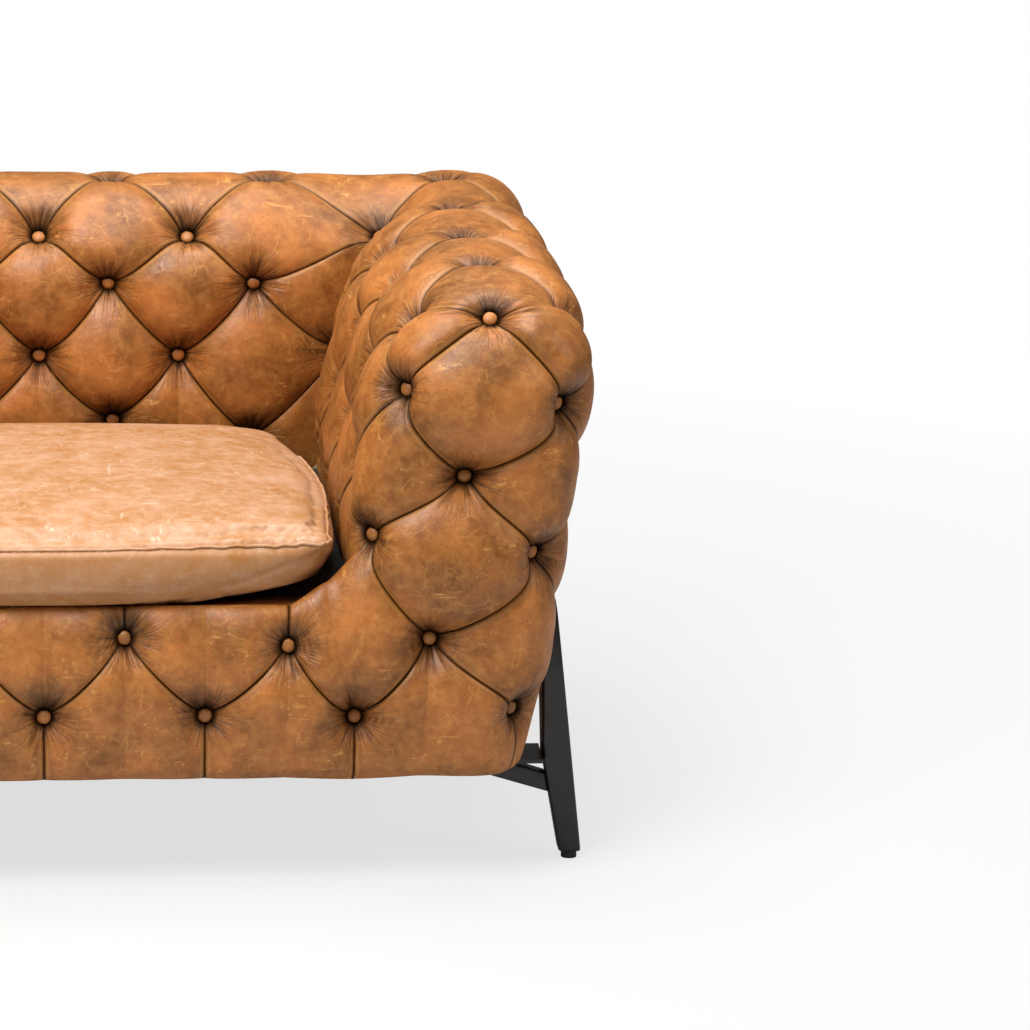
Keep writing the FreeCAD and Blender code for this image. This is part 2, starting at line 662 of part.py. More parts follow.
def make_back():
    """Make the back between the arms: timber, plywood, foam, tufted leather and buttons."""
    low = "%s - %s" % (BACK_MIDDLE, CORE_INSIDE)
    width, depth = "2 * " + BACK_HALF, "2 * " + CORE_INSIDE
    keep("back_bottom_rail", block("back_foot", ("-" + BACK_HALF, low, "ground_gap"),
                                   (width, depth, "foot_rail_height")))
    keep("back_top_rail", block("back_head", ("-" + BACK_HALF, low, "ground_gap + " + POST_TOP),
                                (width, depth, "top_rail_height")))
    posts = {"left": "-" + BACK_HALF, "middle": "-post_depth / 2", "right": BACK_HALF + " - post_depth"}
    for name, start in posts.items():
        keep("back_post_" + name, block("back_upright_" + name, (start, low, "ground_gap + foot_rail_height"),
                                        ("post_depth", depth, POST_HEIGHT)))
    faces = {"inner": "%s - core_half" % BACK_MIDDLE, "outer": "%s + %s" % (BACK_MIDDLE, CORE_INSIDE)}
    for name, start in faces.items():
        keep("back_%s_panel" % name, block("back_board_" + name, ("-" + BACK_HALF, start, "ground_gap"),
                                           (width, "panel_wall", "core_top")))
    outline = [("%s + %s" % (BACK_MIDDLE, across), "ground_gap + " + rise)
               for across, rise in saddle_outline(FOAM_BACK)]
    keep("back_foam", prism("foam_back", "YZ", outline, "-" + BACK_HALF, width))
    cover = back_cover()
    keep("back_cover", cover.solid("back_leather"))
    keep("back_buttons", buttons_on("back_discs", cover))


def make_seat():
    """Make the seat's rails, corner blocks, webbing, deck and front roll."""
    across = ("2 * " + SEAT_END, "seat_rail_wall", SEAT_RAIL_HEIGHT)
    keep("seat_front_rail", block("front_timber", ("-" + SEAT_END, CORE_FRONT, "ground_gap"), across))
    keep("seat_rear_rail", block("rear_timber", ("-" + SEAT_END, REAR_RAIL, "ground_gap"), across))
    along = ("seat_rail_wall", "%s - %s" % (REAR_RAIL, RAIL_INSIDE), SEAT_RAIL_HEIGHT)
    for name, side in SIDES.items():
        start = SEAT_INSIDE if side > 0 else "-" + SEAT_END
        keep("seat_side_rail_" + name, block("side_timber_" + name, (start, RAIL_INSIDE, "ground_gap"), along))
    blocks = []
    for name, side in SIDES.items():
        for end, (edge, inward) in {"front": (RAIL_INSIDE, 1), "rear": (REAR_RAIL, -1)}.items():
            corner = ("%d * %s" % (side, SEAT_INSIDE), edge)
            corners = [corner, ("%d * (%s - block_leg)" % (side, SEAT_INSIDE), edge),
                       (corner[0], "%s + %d * block_leg" % (edge, inward))]
            blocks.append(prism("corner_%s_%s" % (end, name), "XY", corners, "ground_gap + block_rise",
                                "block_height"))
    keep("corner_blocks", group("corner_wood", blocks))
    straps = []
    for index in range(LENGTHWISE_STRAPS):
        share = 2 * (index + 1) / (LENGTHWISE_STRAPS + 1) - 1
        straps.append(block("strap_along_%d" % index, (
            "%.4f * %s - webbing_width / 2" % (share, SEAT_INSIDE), CORE_FRONT, "ground_gap + " + SEAT_RAIL_HEIGHT),
            ("webbing_width", "%s - %s" % (SEAT_BACK, CORE_FRONT), "webbing_wall")))
    keep("webbing_lengthwise", group("straps_along", straps))
    straps = []
    for index in range(CROSSWISE_STRAPS):
        share = (index + 1) / (CROSSWISE_STRAPS + 1)
        middle = "%s + %.4f * (%s - %s)" % (RAIL_INSIDE, share, REAR_RAIL, RAIL_INSIDE)
        straps.append(block("strap_across_%d" % index, (
            "-" + SEAT_END, middle + " - webbing_width / 2", "ground_gap + webbing_wall + " + SEAT_RAIL_HEIGHT),
            ("2 * " + SEAT_END, "webbing_width", "webbing_wall")))
    keep("webbing_crosswise", group("straps_across", straps))
    deck_corner = ("-" + SEAT_END, CORE_FRONT + " + joint_gap", "ground_gap + rail_top - deck_wall")
    keep("seat_deck", block("deck_foam", deck_corner, (
        "2 * " + SEAT_END, "%s - %s - joint_gap" % (SEAT_BACK, CORE_FRONT), "deck_wall")))
    roll_half = "(%d * column_half - rail_widening - fit_gap)" % SEAT_COLUMNS
    keep("front_rail_foam", block("roll_foam", (
        "-" + roll_half, FRONT_LINE + " + cover_depth + fit_gap", "ground_gap"), (
        "2 * " + roll_half, "end_depth - cover_depth - fit_gap", "rail_top - fit_gap")))
    cover = rail_cover()
    keep("front_rail_cover", cover.solid("rail_leather"))
    keep("front_rail_buttons", buttons_on("rail_discs", cover))
    keep("dust_cover", cut("dust_cloth_cut", block("dust_cloth", (
        "-(%s + core_half)" % ARM_MIDDLE, CORE_FRONT, DUST_BOTTOM), (
        "2 * (%s + core_half)" % ARM_MIDDLE, CORE_LENGTH, "dust_wall")), screw_holes))


# The loose cushion: a crowned form with corners drawn in, as a skin round its foam
# Each level of it is a share of its height, how far it lies inside its outline as a share of half its extent, and
# its corners' radius as a multiple of the seam's: the border tapers to the corners, so the lower corners are wider
CUSHION_LEVELS = ((0, 0.126, 2.6), (0.075, 0.045, 2.5), (0.21, 0.008, 1.9), (0.42, 0, 1.3), (0.61, 0.003, 1),
                  (0.67, 0.028, 1), (0.8, 0.14, 1), (0.9, 0.293, 1), (0.972, 0.49, 1), (1, 0.656, 1))


def cushion_form(shrink):
    """Return the cushion's form, taken in by shrink all round."""
    low, high = size(CUSHION_FRONT) + shrink, size(CUSHION_BACK) - shrink
    middle, crown = (low + high) / 2, size("cushion_crown")
    draw = size("cushion_draw")
    bottom = size("ground_gap + cushion_rise") + shrink
    wires = []
    for height, inset, widening in CUSHION_LEVELS:
        radius = size("cushion_corner") * widening
        half, deep = size("cushion_half") * (1 - inset) - shrink, (high - low) / 2 * (1 - inset)
        up = bottom + height * (crown - 2 * shrink)
        knee = radius * ROUND_CORNER + draw / 2
        points = []
        for turn, (across, along) in enumerate(((half, deep), (deep, half), (half, deep), (deep, half))):
            quarter = [(across - draw, radius - along), (across, 0), (across - draw, along - radius),
                       (across - knee, along - knee)]
            for _ in range(turn):
                quarter = [(-second, first) for first, second in quarter]
            points += quarter
        taper = size("cushion_taper") / (high - low) * 2
        points = [Vector(first * (1 - taper * max(0, second)), middle + second, up) for first, second in points]
        edges = [Part.Arc(points[index], points[index + 1], points[(index + 2) % len(points)]).toShape()
                 for index in range(0, len(points), 2)]
        wires.append(Part.Wire(edges))
    return Part.makeLoft(wires, True, True)


def make_cushion():
    """Make the cushion's skin and the foam inside it."""
    skin = doc.addObject("Part::Feature", "cushion_leather")
    skin.Shape = cushion_form(0).cut(cushion_form(size("cushion_skin")))
    keep("seat_cushion_cover", skin)
    core = doc.addObject("Part::Feature", "cushion_core")
    core.Shape = cushion_form(size("cushion_skin") + size("fit_gap"))
    keep("seat_cushion_foam", core)


# The steel legs, their struts, plates, glides and screws
def make_leg(name, side, end, toward):
    """Make one leg blade and its strut."""
    tag = "%s_%s" % (end, name)
    along = "(%d * %s)" % (toward, LEG_MIDDLE)

    def out(distance):
        return "%d * (%s + %s)" % (side, SIDE_FACE, distance)

    front_outline = [(out("leg_top_out"), "ground_gap + leg_rise"), (out("leg_knee_out"), "ground_gap"),
                     (out("leg_foot_out"), "glide_height"), (out("leg_foot_out + leg_foot_wall"), "glide_height"),
                     (out("leg_top_out + leg_top_wall"), "ground_gap + leg_rise")]
    blade = prism("blade_front_" + tag, "XZ", front_outline, along + " - leg_round", "2 * leg_round")
    top = "ground_gap + leg_rise - leg_round"
    far = "%.2f * leg_round" % THIRD_TURN_SINE
    right_half = [("leg_foot_half", "glide_height"), ("leg_waist", "ground_gap / 2"),
                  ("leg_thigh", "ground_gap + leg_thigh_rise"), ("leg_round", "ground_gap + leg_shoulder_rise"),
                  ("leg_round", top), (far, top + " + leg_round / 2"), ("leg_round / 2", top + " + " + far)]
    left_half = [("-(%s)" % across, up) for across, up in reversed(right_half)]
    outline = [("%s + %s" % (along, across), up) for across, up in
               right_half + [("0", top + " + leg_round")] + left_half]
    reach = "(leg_foot_out + leg_foot_wall)"
    start = SIDE_FACE if side > 0 else "-(%s + %s)" % (SIDE_FACE, reach)
    profile = prism("blade_side_" + tag, "YZ", outline, start, reach)
    keep("leg_%s" % tag, common("blade_" + tag, blade, profile))

    def inner(drop):
        return "%d * (%s + %s * (%s) - joint_gap)" % (side, LEG_KNEE, LEG_SLOPE, drop)

    strut = [("%d * (%s - strut_reach)" % (side, LEG_KNEE), PLATE_BOTTOM),
             ("%d * (%s - strut_reach + strut_base)" % (side, LEG_KNEE), PLATE_BOTTOM),
             (inner("strut_top_drop"), "ground_gap - strut_top_drop"),
             (inner("strut_low_drop"), "ground_gap - strut_low_drop")]
    keep("leg_strut_%s" % tag, prism("strut_" + tag, "XZ", strut, along + " - strut_half", "2 * strut_half"))


def screw_places():
    """Return the X and Y of every screw, as formulas."""
    places = []
    for side in SIDES.values():
        for toward in ENDS.values():
            for across in (-1, 1):
                for along in (-1, 1):
                    places.append(("%d * (%s + screw_offset + %d * screw_spread)" % (side, ARM_MIDDLE, across),
                                   "%d * %s + %d * screw_spread" % (toward, LEG_MIDDLE, along)))
    return places


def cylinder(label, place, radius, height):
    """Make an upright cylinder from formulas."""
    rod = doc.addObject("Part::Cylinder", label)
    for axis, formula in zip("xyz", place):
        rod.setExpression("Placement.Base." + axis, bound(formula))
    rod.setExpression("Radius", bound(radius))
    rod.setExpression("Height", bound(height))
    return rod


def make_fixings():
    """Make the plates, screws and glides of the four legs."""
    plates, screws, glides = [], [], []
    for side in SIDES.values():
        start = "%s - plate_reach" % LEG_KNEE if side > 0 else "-" + LEG_KNEE
        for toward in ENDS.values():
            middle = "%d * %s" % (toward, LEG_MIDDLE)
            plates.append(block("plate_%d" % len(plates), (start, middle + " - plate_half", PLATE_BOTTOM), (
                "plate_reach", "2 * plate_half", "plate_wall")))
            glides.append(cylinder("glide_%d" % len(glides), ("%d * %s" % (side, FOOT_MIDDLE), middle, "0"),
                                   "glide_radius", "glide_height"))
    for index, (across, along) in enumerate(screw_places()):
        shank = cylinder("shank_%d" % index, (across, along, PLATE_BOTTOM), "screw_radius", "screw_length")
        head = cylinder("head_%d" % index, (across, along, PLATE_BOTTOM + " - screw_head_height"), "screw_head",
                        "screw_head_height")
        screw = doc.addObject("Part::Fuse", "screw_%d" % index)
        screw.Base, screw.Tool = shank, head
        screws.append(screw)
    keep("leg_plates", cut("drilled_plates", group("plates", plates), screw_holes))
    keep("leg_screws", group("screws", screws))
    keep("foot_glides", group("glides", glides))


screw_holes = group("screw_holes", [
    cylinder("hole_%d" % index, (across, along, PLATE_BOTTOM), "screw_radius + screw_gap",
             "screw_length + screw_gap") for index, (across, along) in enumerate(screw_places())])
for side_name, side_sign in SIDES.items():
    make_arm(side_name, side_sign)
    for end_name, end_sign in ENDS.items():
        make_leg(side_name, side_sign, end_name, end_sign)
make_back()
make_seat()
make_cushion()
make_fixings()
doc.recompute()

for item in doc.Objects:
    if "Invalid" in item.State or "Error" in item.State:
        raise RuntimeError("%s could not be worked out: %s" % (item.Label, item.State))
for label, item in PARTS.items():
    if item.Shape.isNull() or not item.Shape.isValid():
        raise RuntimeError("the shape of %s is not sound" % label)
for label, item in PARTS.items():
    item.Shape.exportStep("parts/%s.step" % label)
print("%d parts" % len(PARTS))
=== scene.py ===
"""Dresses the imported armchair: buttoned leather, a simulated seat cushion, enamelled legs and the studio.

Metres. +Z is up, -Y is the front and +X is the right as seen from the front. The buttons stand on a lattice
that runs all round the chair: k counts half spacings from the middle to the right, c counts them from the
front to the rear, and r counts the rows up from the lowest, with the rounded top edge as row 5 and the top
as row 6.
"""
import json
import math

import bmesh
import bpy
import numpy as np
from mathutils import Euler, Matrix, Vector
from mathutils.bvhtree import BVHTree
from mathutils.kdtree import KDTree


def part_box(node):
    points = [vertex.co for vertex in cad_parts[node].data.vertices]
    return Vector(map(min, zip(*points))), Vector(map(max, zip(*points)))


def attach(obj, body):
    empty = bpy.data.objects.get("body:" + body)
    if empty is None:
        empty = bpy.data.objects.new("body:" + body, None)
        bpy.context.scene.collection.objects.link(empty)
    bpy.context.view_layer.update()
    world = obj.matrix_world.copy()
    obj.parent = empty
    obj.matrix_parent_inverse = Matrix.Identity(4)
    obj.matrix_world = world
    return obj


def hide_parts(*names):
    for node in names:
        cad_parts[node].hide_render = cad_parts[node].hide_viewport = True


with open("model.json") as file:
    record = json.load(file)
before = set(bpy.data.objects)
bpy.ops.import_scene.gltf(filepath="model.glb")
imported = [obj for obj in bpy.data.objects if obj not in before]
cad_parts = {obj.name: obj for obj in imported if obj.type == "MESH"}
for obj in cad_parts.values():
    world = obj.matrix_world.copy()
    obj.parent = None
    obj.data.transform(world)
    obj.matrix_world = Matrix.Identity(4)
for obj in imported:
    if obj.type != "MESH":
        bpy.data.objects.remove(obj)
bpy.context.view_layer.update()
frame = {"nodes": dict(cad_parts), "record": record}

bl_info = {
    "name": "Deep-buttoned armchair",
    "version": (1, 0, 0),
    "blender": (4, 5, 0),
    "location": "3D View > Sidebar > Armchair",
    "description": "Builds the leather, cushion, metalwork and studio of a deep-buttoned armchair",
    "category": "Object",
}

HIGH_ROW, EDGE_ROW, TOP_ROW = 4, 5, 6           # highest row of the faces, the rounded edge's and the top's
ARM_INNER, ARM_MIDDLE, ARM_OUTER = 4, 5, 6      # half spacings from the middle to an arm's three lines
BACK_INNER, BACK_MIDDLE, REAR = 7, 8, 9         # half spacings from the front to the back's three lines
FRONT_LINE = -0.441             # where the front's buttons stand
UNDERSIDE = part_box("front_rail_cover")[0].z
LEAN_ONSET = 6                  # how late towards the arms the back's columns start to lean, as a power
# How far the arms' inner and middle lines stay behind the even lean, by their rise
INNER_UPRIGHT = ((0.0, 0.012), (0.079, 0.020), (0.1745, 0.034), (0.27, 0.043), (0.3655, 0.038),
                 (0.461, 0.026), (0.527, 0.012), (0.574, 0.008))
MIDDLE_UPRIGHT = ((0.079, 0.030), (0.1745, 0.037), (0.3655, 0.020), (0.461, 0.016), (0.556, 0.012))
# Half the button spacing across the back's inner face and top, by rise
BACK_COLUMNS = ((0.27, 0.090), (0.461, 0.0895), (0.527, 0.0955), (0.574, 0.096))
# Where single buttons stray from the even lattice: across, back and up
STRAYS = {(4, 0, 2): (0.0, 0.0, 0.024), (6, 0, 4): (0.005, 0.0, -0.012), (4, 0, 4): (0.0, 0.0, 0.007),
          (3, 7, 2): (0.0, 0.0, -0.015), (5, 6, 6): (0.0, 0.0, -0.004), (5, 4, 6): (0.0, 0.0, -0.004),
          (3, 0, 1): (0.0, 0.0, -0.011), (1, 7, 2): (0.005, 0.0, 0.009), (4, 0, 0): (0.0, 0.0, -0.005),
          (5, 0, 1): (0.0, 0.0, -0.006)}
# Lattice points without a button of the arm's own: two behind the legs, and one that belongs to the rail
NO_BUTTON = {(ARM_OUTER, 1, 1), (ARM_OUTER, 8, 0), (ARM_INNER, 0, 0)}
END_BUTTON = (ARM_MIDDLE, 0, EDGE_ROW)          # the top button on an arm's front
END_FACING = np.array([0, -1.0, 0.75])
OUTER_INSET = 0.5               # share of the inset that buttons on an arm's outer top edge have
LEVEL = np.array([1.0, 1.0, 0.0])               # times a direction, leaves its level part

EVEN_SHARE = 0.4                # how even the steps of a mesh are: the rest lie closer near its ends
# Least value and spread of what chance makes of a pleat's sag and lift, and of a tuft's crown
SAG_CHANCE, LIFT_CHANCE, CROWN_CHANCE = (0.65, 0.7), (0.85, 0.3), (0.88, 0.24)
SKEW, HUMP = 0.35, 0.8          # how far a pleat's highest place strays, and how broad its hump is
TAPER_ABOVE, TAPER_BELOW = 0.85, 1.1            # how long a tuft's taper is above and below a button
# Crowns of single tufts as shares of the full crown
ROUNDED, ARM_TOP, BACK_TOP, SIDE_FACE, UPRIGHT = 0.6, 0.3, 0.15, 0.25, 0.9
FOOT_OPEN = (0, 0, 0.35, 0)     # how full a tuft stays at each side: here at its foot
ROLL_OPEN = (0, 0, 0, 0.2)      # the same, where the rail's leather rolls over
HEM_LIFT, ROLL_LIFT = 0.003, 0.004              # how far upright pleats rise, over a hem and over the rail

TREES, DEPTHS = {}, {}          # search trees of the foam, and depths of the buttons, once found
REACH = 0.03                    # how far to either side of the leather foam is looked for
BUTTON_STAND = 0.0052           # how far a button's middle lies over the bottom of its funnel
BUTTON_FLATNESS = 0.55          # height of a button's dome as a share of its radius

LEATHER_FIELDS = ("crease", "rim", "pucker", "shade")          # what the leather carries at its points
# Ways of the long folds beside the end button, and the reach and depth of each
END_FOLDS = (0.04, -0.22, -0.55, math.pi - 0.02, math.pi + 0.2, math.pi + 0.5)
END_FOLD = (0.066, 0.0042)
FOLD_REACH, FOLD_DEPTH = (0.026, 0.050), (0.0008, 0.0018)       # of the other buttons' long folds
FOLD_WIDTH, FOLD_LINE = 0.0032, 0.0019          # half widths of a long fold and of its dark line of painted shade
FOLD_START, FOLD_EASE = 0.006, 0.008            # where a long fold sets in, and over what length
PUCKERS = (4, 7, 9, 12, 15)     # how many waves of each kind run round a button
PUCKER_SHARES, PUCKER_SUM = (0.4, 1.0), 2.2     # how high each kind may be, and what their sum is divided by
PUCKER_START, PUCKER_REACH = 0.012, 0.030
BUTTON_DARK = 0.0158            # how far round a button the leather is painted dark, as shade in its funnel
SHADE_ABOVE = 0.3               # share of a button's soft shade that lies above it too
FOLD_GREY, PLEAT_BLACK, PLEAT_GREY = 0.9, 0.98, 0.34            # how dark the painted shade is in folds, in pleats and beside pleats
BUTTON_SHADE, RAY_REACH = 0.033, 0.034          # how far its soft shade and its fine rays reach
PLEAT_DARK, PLEAT_SHADE = 0.0020, 0.010         # half widths of a pleat's dark line of painted shade and of its soft painted shade
RIM_PLACE, RIM_WIDTH = 0.0056, 0.0022           # place and half width of the pale line beside a pleat: rubbed leather and a painted highlight
RIM_CLEAR = 1.6                 # how clear of buttons that line stays
SCRATCH_CELL, SCRATCH_WARP = 0.034, 0.05        # size of the cells that scratches follow, and of their warp
# Turns and stretches of the long strokes over the leather
STROKES = (((0.3, 0.9, 0.4), (22, 160, 160)), ((1.2, 0.2, 2.1), (150, 26, 150)))

HEM_RISE = -0.0006              # how far the hem lies over the underside
HEM_TUCK = 0.024                # how far the leather runs on under the body
HEM_LAP = 0.001                 # how far that strip laps behind the rounded hem
HEM_BACK, CORNER_BACK = 0.004, 0.002            # how far the hem lies behind the buttons over it
LEG_KNEE, LEG_TOP = 0.5975, 0.5905              # how far out the legs' inner faces lie, low and high
LEG_EASE, LEG_SWELL = 0.020, 0.012              # how far the leather swells out again beside a leg
RAIL_CREST = (0.0015, 0.0006)   # how far the rail's leather stays off its foam, in front and above
RAIL_NORMAL = (0, -0.6, 0.8)
RAIL_BEND, BEND_NORMAL = (0, 0.004, -0.016), (0, -0.8, 0.8)     # its dip between the rail and an arm
DECK_REACH = 0.002              # how far it runs on behind its foam
DECK_LAP = (0, 0.004, -0.02)    # how its rear edge is turned down
WELD_REACH = 2e-5               # how close points of a cover lie that are made one

CUSHION_DRAWN_IN = 0.94         # how wide the cushion's underside is, as a share of its top
REAR_EASE, SEAT_EASE = 0.005, 0.0015            # how far the cushion stays off the back, and off the seat
CUSHION_BELLY = 0.012           # how far its border bulges, as a share of half a side
SWEPT = 2.2                     # how late towards the corners its sides are drawn in, as a power
CORNER_TURN, UNDER_TURN = 2.5, 3.6              # how late its seam rises and its underside lifts, as powers
BORDER_DRAW = 0.25              # how much of the drawing in is left where the border has no height
SHELL_STEPS, BORDER_STEPS = 60, 8               # mesh steps of its starting form, along a side and upwards
SEW_REACH = 2e-4                # how close points of that form lie that are made one
CLOTH_PRESSURE, CLOTH_STEPS, CLOTH_TENSION, CLOTH_SPARE = 4.0, 20, 25, -0.025
SEAM_STEPS = 240                # points of the seam along each side
SEAM_DRAW, SEAM_WIDTH = 0.0042, 0.0042          # how deep the top seam is drawn in, and how wide
SEAM_EDGE, BORDER_FADE = 0.004, 0.03            # how far from the seam the gathers and the border set in
GATHER_PITCH, GATHER_SLANT = 0.0155, 0.55       # spacing of the gathers, and how they slant
GATHER_ABOVE, GATHER_BELOW = 0.026, 0.010       # how far they run over the top and over the border
# Where towards a corner the gathers set in, over what share they grow, and how short of it they end
GATHER_FROM, GATHER_GROW, GATHER_END = 0.45, 0.40, 0.05
GATHER_STRAY, GATHER_TURN = 0.25, 1.7           # how far their spacing strays, and how fast
SIDE_RATIO = 0.94               # depth to width of the cushion, which tells front and rear from the sides
BORDER_LOSS = 0.3               # how much the border's painted shade fades away from the seam
SEAM_EASE = 4                   # points to either side over which the welt is evened out
WELT_STAND = 0.0012             # how far the welt's middle lies over the seam
WELT_SIDES = 8

# What a leg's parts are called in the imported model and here, and how far their edges are rounded
LEG_PARTS = (("leg", "blade", 0.0045), ("leg_strut", "strut", 0.0022))
FLAT_ANGLE, EDGE_ANGLE, SHADED_ANGLE = math.radians(2), math.radians(25), math.radians(38)
EDGE_STEPS, EDGE_PROFILE, SAME_PLACE = 3, 0.6, 1e-5

FLOOR_REACH = 30.0              # half the width of the floor
FLOOR_NEAR, FLOOR_FAR = 0.7, 2.6                # where the floor starts and ends to turn to white
FLOOR_GLOW = 0.72               # how white it reads under the chair
# Name, place, width and power of each lamp
LAMPS = (("key_softbox", (-0.9, -1.9, 3.1), 1.5, 142.0), ("right_softbox", (3.0, -1.6, 2.2), 1.2, 24.0),
         ("top_softbox", (0.2, 0.1, 3.0), 1.9, 80.0))
LAMP_TARGET, LAMP_TINT = (0.1, -0.1, 0.4), (1.0, 0.98, 0.96)
SURROUND, GLOSSY_SHARE = 0.12, 0.05             # strength of the surround's light, and how far it mirrors
SENSOR_WIDTH, FOCAL_LENGTH = 36.0, 161.8        # in millimetres
CAMERA_PLACE = (-0.0294, -5.6634, 1.7684)
CAMERA_ANGLES = (14.03, 6.324, 1.19)            # pitch, yaw and roll in degrees
SIGHT = 100.0                   # how far the camera sees


# Sizes and colours that a user would change
def length(name, default, description):
    """Return a property for a length in metres."""
    return bpy.props.FloatProperty(name=name, description=description, default=default, unit="LENGTH",
                                   precision=4)


def ratio(name, default, description):
    """Return a property for a plain number."""
    return bpy.props.FloatProperty(name=name, description=description, default=default, min=0.0)


def tint(name, default, description):
    """Return a property for a colour as a hex code of sRGB."""
    return bpy.props.StringProperty(name=name, description=description, default=default)


class TuftingSizes(bpy.types.PropertyGroup):
    """Sizes of the tufted leather."""

    column: length("Column spacing", 0.094, "Half the button spacing across the front and the back")
    depth_column: length("Depth spacing", 0.098, "Half the button spacing from front to back")
    first_row: length("First row", 0.079, "Rise of the lowest row of buttons over the underside")
    row: length("Row spacing", 0.0955, "Rise from one row of buttons to the next")
    edge_row: length("Edge row", 0.527, "Rise of the buttons on the rounded top edge")
    top_row: length("Top row", 0.574, "Rise of the buttons along the top")
    end_top: length("End button", 0.556, "Rise of the top button on an arm's front")
    end_setback: length("End setback", 0.022, "How far that button lies behind the front")
    inset: length("Edge inset", 0.012, "How far a button on an edge lies inside each face")
    lean: ratio("Lean", 0.11, "How far the arms lean outwards for each unit of rise")
    pleat_lift: length("Pleat lift", 0.010, "How far a pleat rises between two buttons")
    crown: length("Crown", 0.013, "How far a tuft swells over its pleats")
    sag: length("Sag", 0.008, "How far a pleat sags between two buttons")
    funnel: length("Funnel depth", 0.019, "How deep a button is drawn in")
    foam_gap: length("Foam gap", 0.0012, "How far the leather of a funnel stays off the foam")
    padding: length("Padding", 0.0035, "How far the leather stands off where the foam lies close behind")
    funnel_radius: length("Funnel radius", 0.024, "How wide the leather is drawn in round a button")
    shoulder: length("Shoulder", 0.0175, "Crown of the tufts on an arm's outer shoulder")
    taper: length("Taper", 0.034, "How far from a button a tuft reaches its full height")
    pucker: length("Puckers", 0.0022, "Height of the folds that run out from a button")
    button_radius: length("Button radius", 0.0086, "Radius of a covered button")
    seat_line: length("Seat line", 0.2103, "Rise at which the inner leather is tucked in")
    hem_round: length("Hem rounding", 0.014, "Radius at which the leather turns under at its hem")
    cell_steps: bpy.props.IntProperty(name="Steps", description="Mesh steps along a tuft's side",
                                      default=38, min=8)


class CushionSizes(bpy.types.PropertyGroup):
    """Sizes of the loose seat cushion."""

    half_width: length("Half width", 0.3480, "Half the width of the cushion at its seam")
    front: length("Front", 0.022, "How far the cushion stands in front of the rail's pleats")
    seam_rise: length("Seam rise", 0.060, "Height of the top seam over the underside, by the arms")
    front_rise: length("Front rise", 0.008, "How much higher the seam runs along the front")
    corner_rise: length("Corner rise", 0.016, "How much higher still it runs at the front corners")
    rear_fall: length("Rear fall", 0.006, "How much lower it runs along the rear")
    crown: length("Crown", 0.098, "Height of the cushion's crown over its underside")
    under_lift: length("Under lift", 0.006, "How far the edge of the underside lifts off the seat")
    bow: ratio("Bow", 0.040, "How far the corners are drawn in, as a share of half a side")
    taper: ratio("Taper", 0.1, "How much narrower the cushion is at its rear, as a share of its width")
    core_gap: length("Core gap", 0.004, "How far the leather stays off the foam core")
    voxel: length("Voxel", 0.006, "Voxel size of the mesh that is simulated")
    swell: length("Swell", 0.009, "How far the simulation may move a point")
    gather: length("Gathers", 0.0030, "Height of the gathers by the corners")
    welt: length("Welt", 0.0019, "Radius of the welt in the top seam")


class Colours(bpy.types.PropertyGroup):
    """Colours of the finishes, as sRGB hex codes."""

    leather: tint("Leather", "AE692F", "Cognac leather's main tone")
    leather_dark: tint("Dark leather", "734314", "Where the wax lies thick")
    # The pale tone is also painted as a highlight beside the pleats
    leather_pale: tint("Pale leather", "CE944E", "Where the leather is rubbed or scratched")
    # Painted shade: the tone of creases, pleats, button funnels and the shade round buttons
    fold: tint("Folds", "0C0502", "Deep in the folds")
    cushion: tint("Cushion", "B38561", "Seat cushion's main tone")
    # The dark cushion tone is also painted as shade on the border under the top seam
    cushion_dark: tint("Dark cushion", "A06A32", "Where the wax is left on the cushion")
    cushion_pale: tint("Pale cushion", "CFB199", "Where the cushion is rubbed")
    enamel: tint("Enamel", "08080A", "Legs")
    timber: tint("Timber", "B68A57", "Hidden frame")
    foam: tint("Foam", "7A5A38", "Hidden foam in its brown felt")
    floor: tint("Floor", "C9C7C4", "Studio floor")


# Materials
def linear(code):
    """Turn an sRGB hex code to linear colour."""
    parts = [int(code[index:index + 2], 16) / 255 for index in (0, 2, 4)]
    return (*(part / 12.92 if part <= 0.04045 else ((part + 0.055) / 1.055) ** 2.4 for part in parts), 1.0)


def add(tree, kind, inputs=None, **settings):
    """Add a node with its settings. An input is a value, or the output of another node."""
    made = tree.nodes.new(kind)
    for name, value in settings.items():
        setattr(made, name, value)
    for socket, value in (inputs or {}).items():
        if isinstance(value, bpy.types.NodeSocket):
            tree.links.new(value, made.inputs[socket])
        else:
            made.inputs[socket].default_value = value
    return made


def ramp(tree, factor, *stops):
    """Add a colour ramp whose stops are pairs of a position and a grey or a colour."""
    made = add(tree, "ShaderNodeValToRGB", {"Fac": factor})
    elements = made.color_ramp.elements
    for index, (position, colour) in enumerate(stops):
        stop = elements[index] if index < 2 else elements.new(position)
        stop.position = position
        stop.color = colour if isinstance(colour, tuple) else (colour, colour, colour, 1.0)
    return made.outputs["Color"]


def blend(tree, factor, first, second, mode="MIX"):
    """Mix two colours."""
    made = add(tree, "ShaderNodeMix", data_type="RGBA", blend_type=mode)
    for socket, value in (("Factor_Float", factor), ("A_Color", first), ("B_Color", second)):
        target = next(item for item in made.inputs if item.identifier == socket)
        if isinstance(value, bpy.types.NodeSocket):
            tree.links.new(value, target)
        else:
            target.default_value = value
    return next(item for item in made.outputs if item.identifier == "Result_Color")


def maths(tree, operation, *values, clamp=False):
    """Add one step of arithmetic."""
    made = add(tree, "ShaderNodeMath", dict(enumerate(values)), operation=operation, use_clamp=clamp)
    return made.outputs[0]


def times(tree, *values):
    """Multiply two values."""
    return maths(tree, "MULTIPLY", *values)


def field(tree, name, output="Fac"):
    """Read a field that the mesh carries at its points."""
    return add(tree, "ShaderNodeAttribute", attribute_name=name).outputs[output]


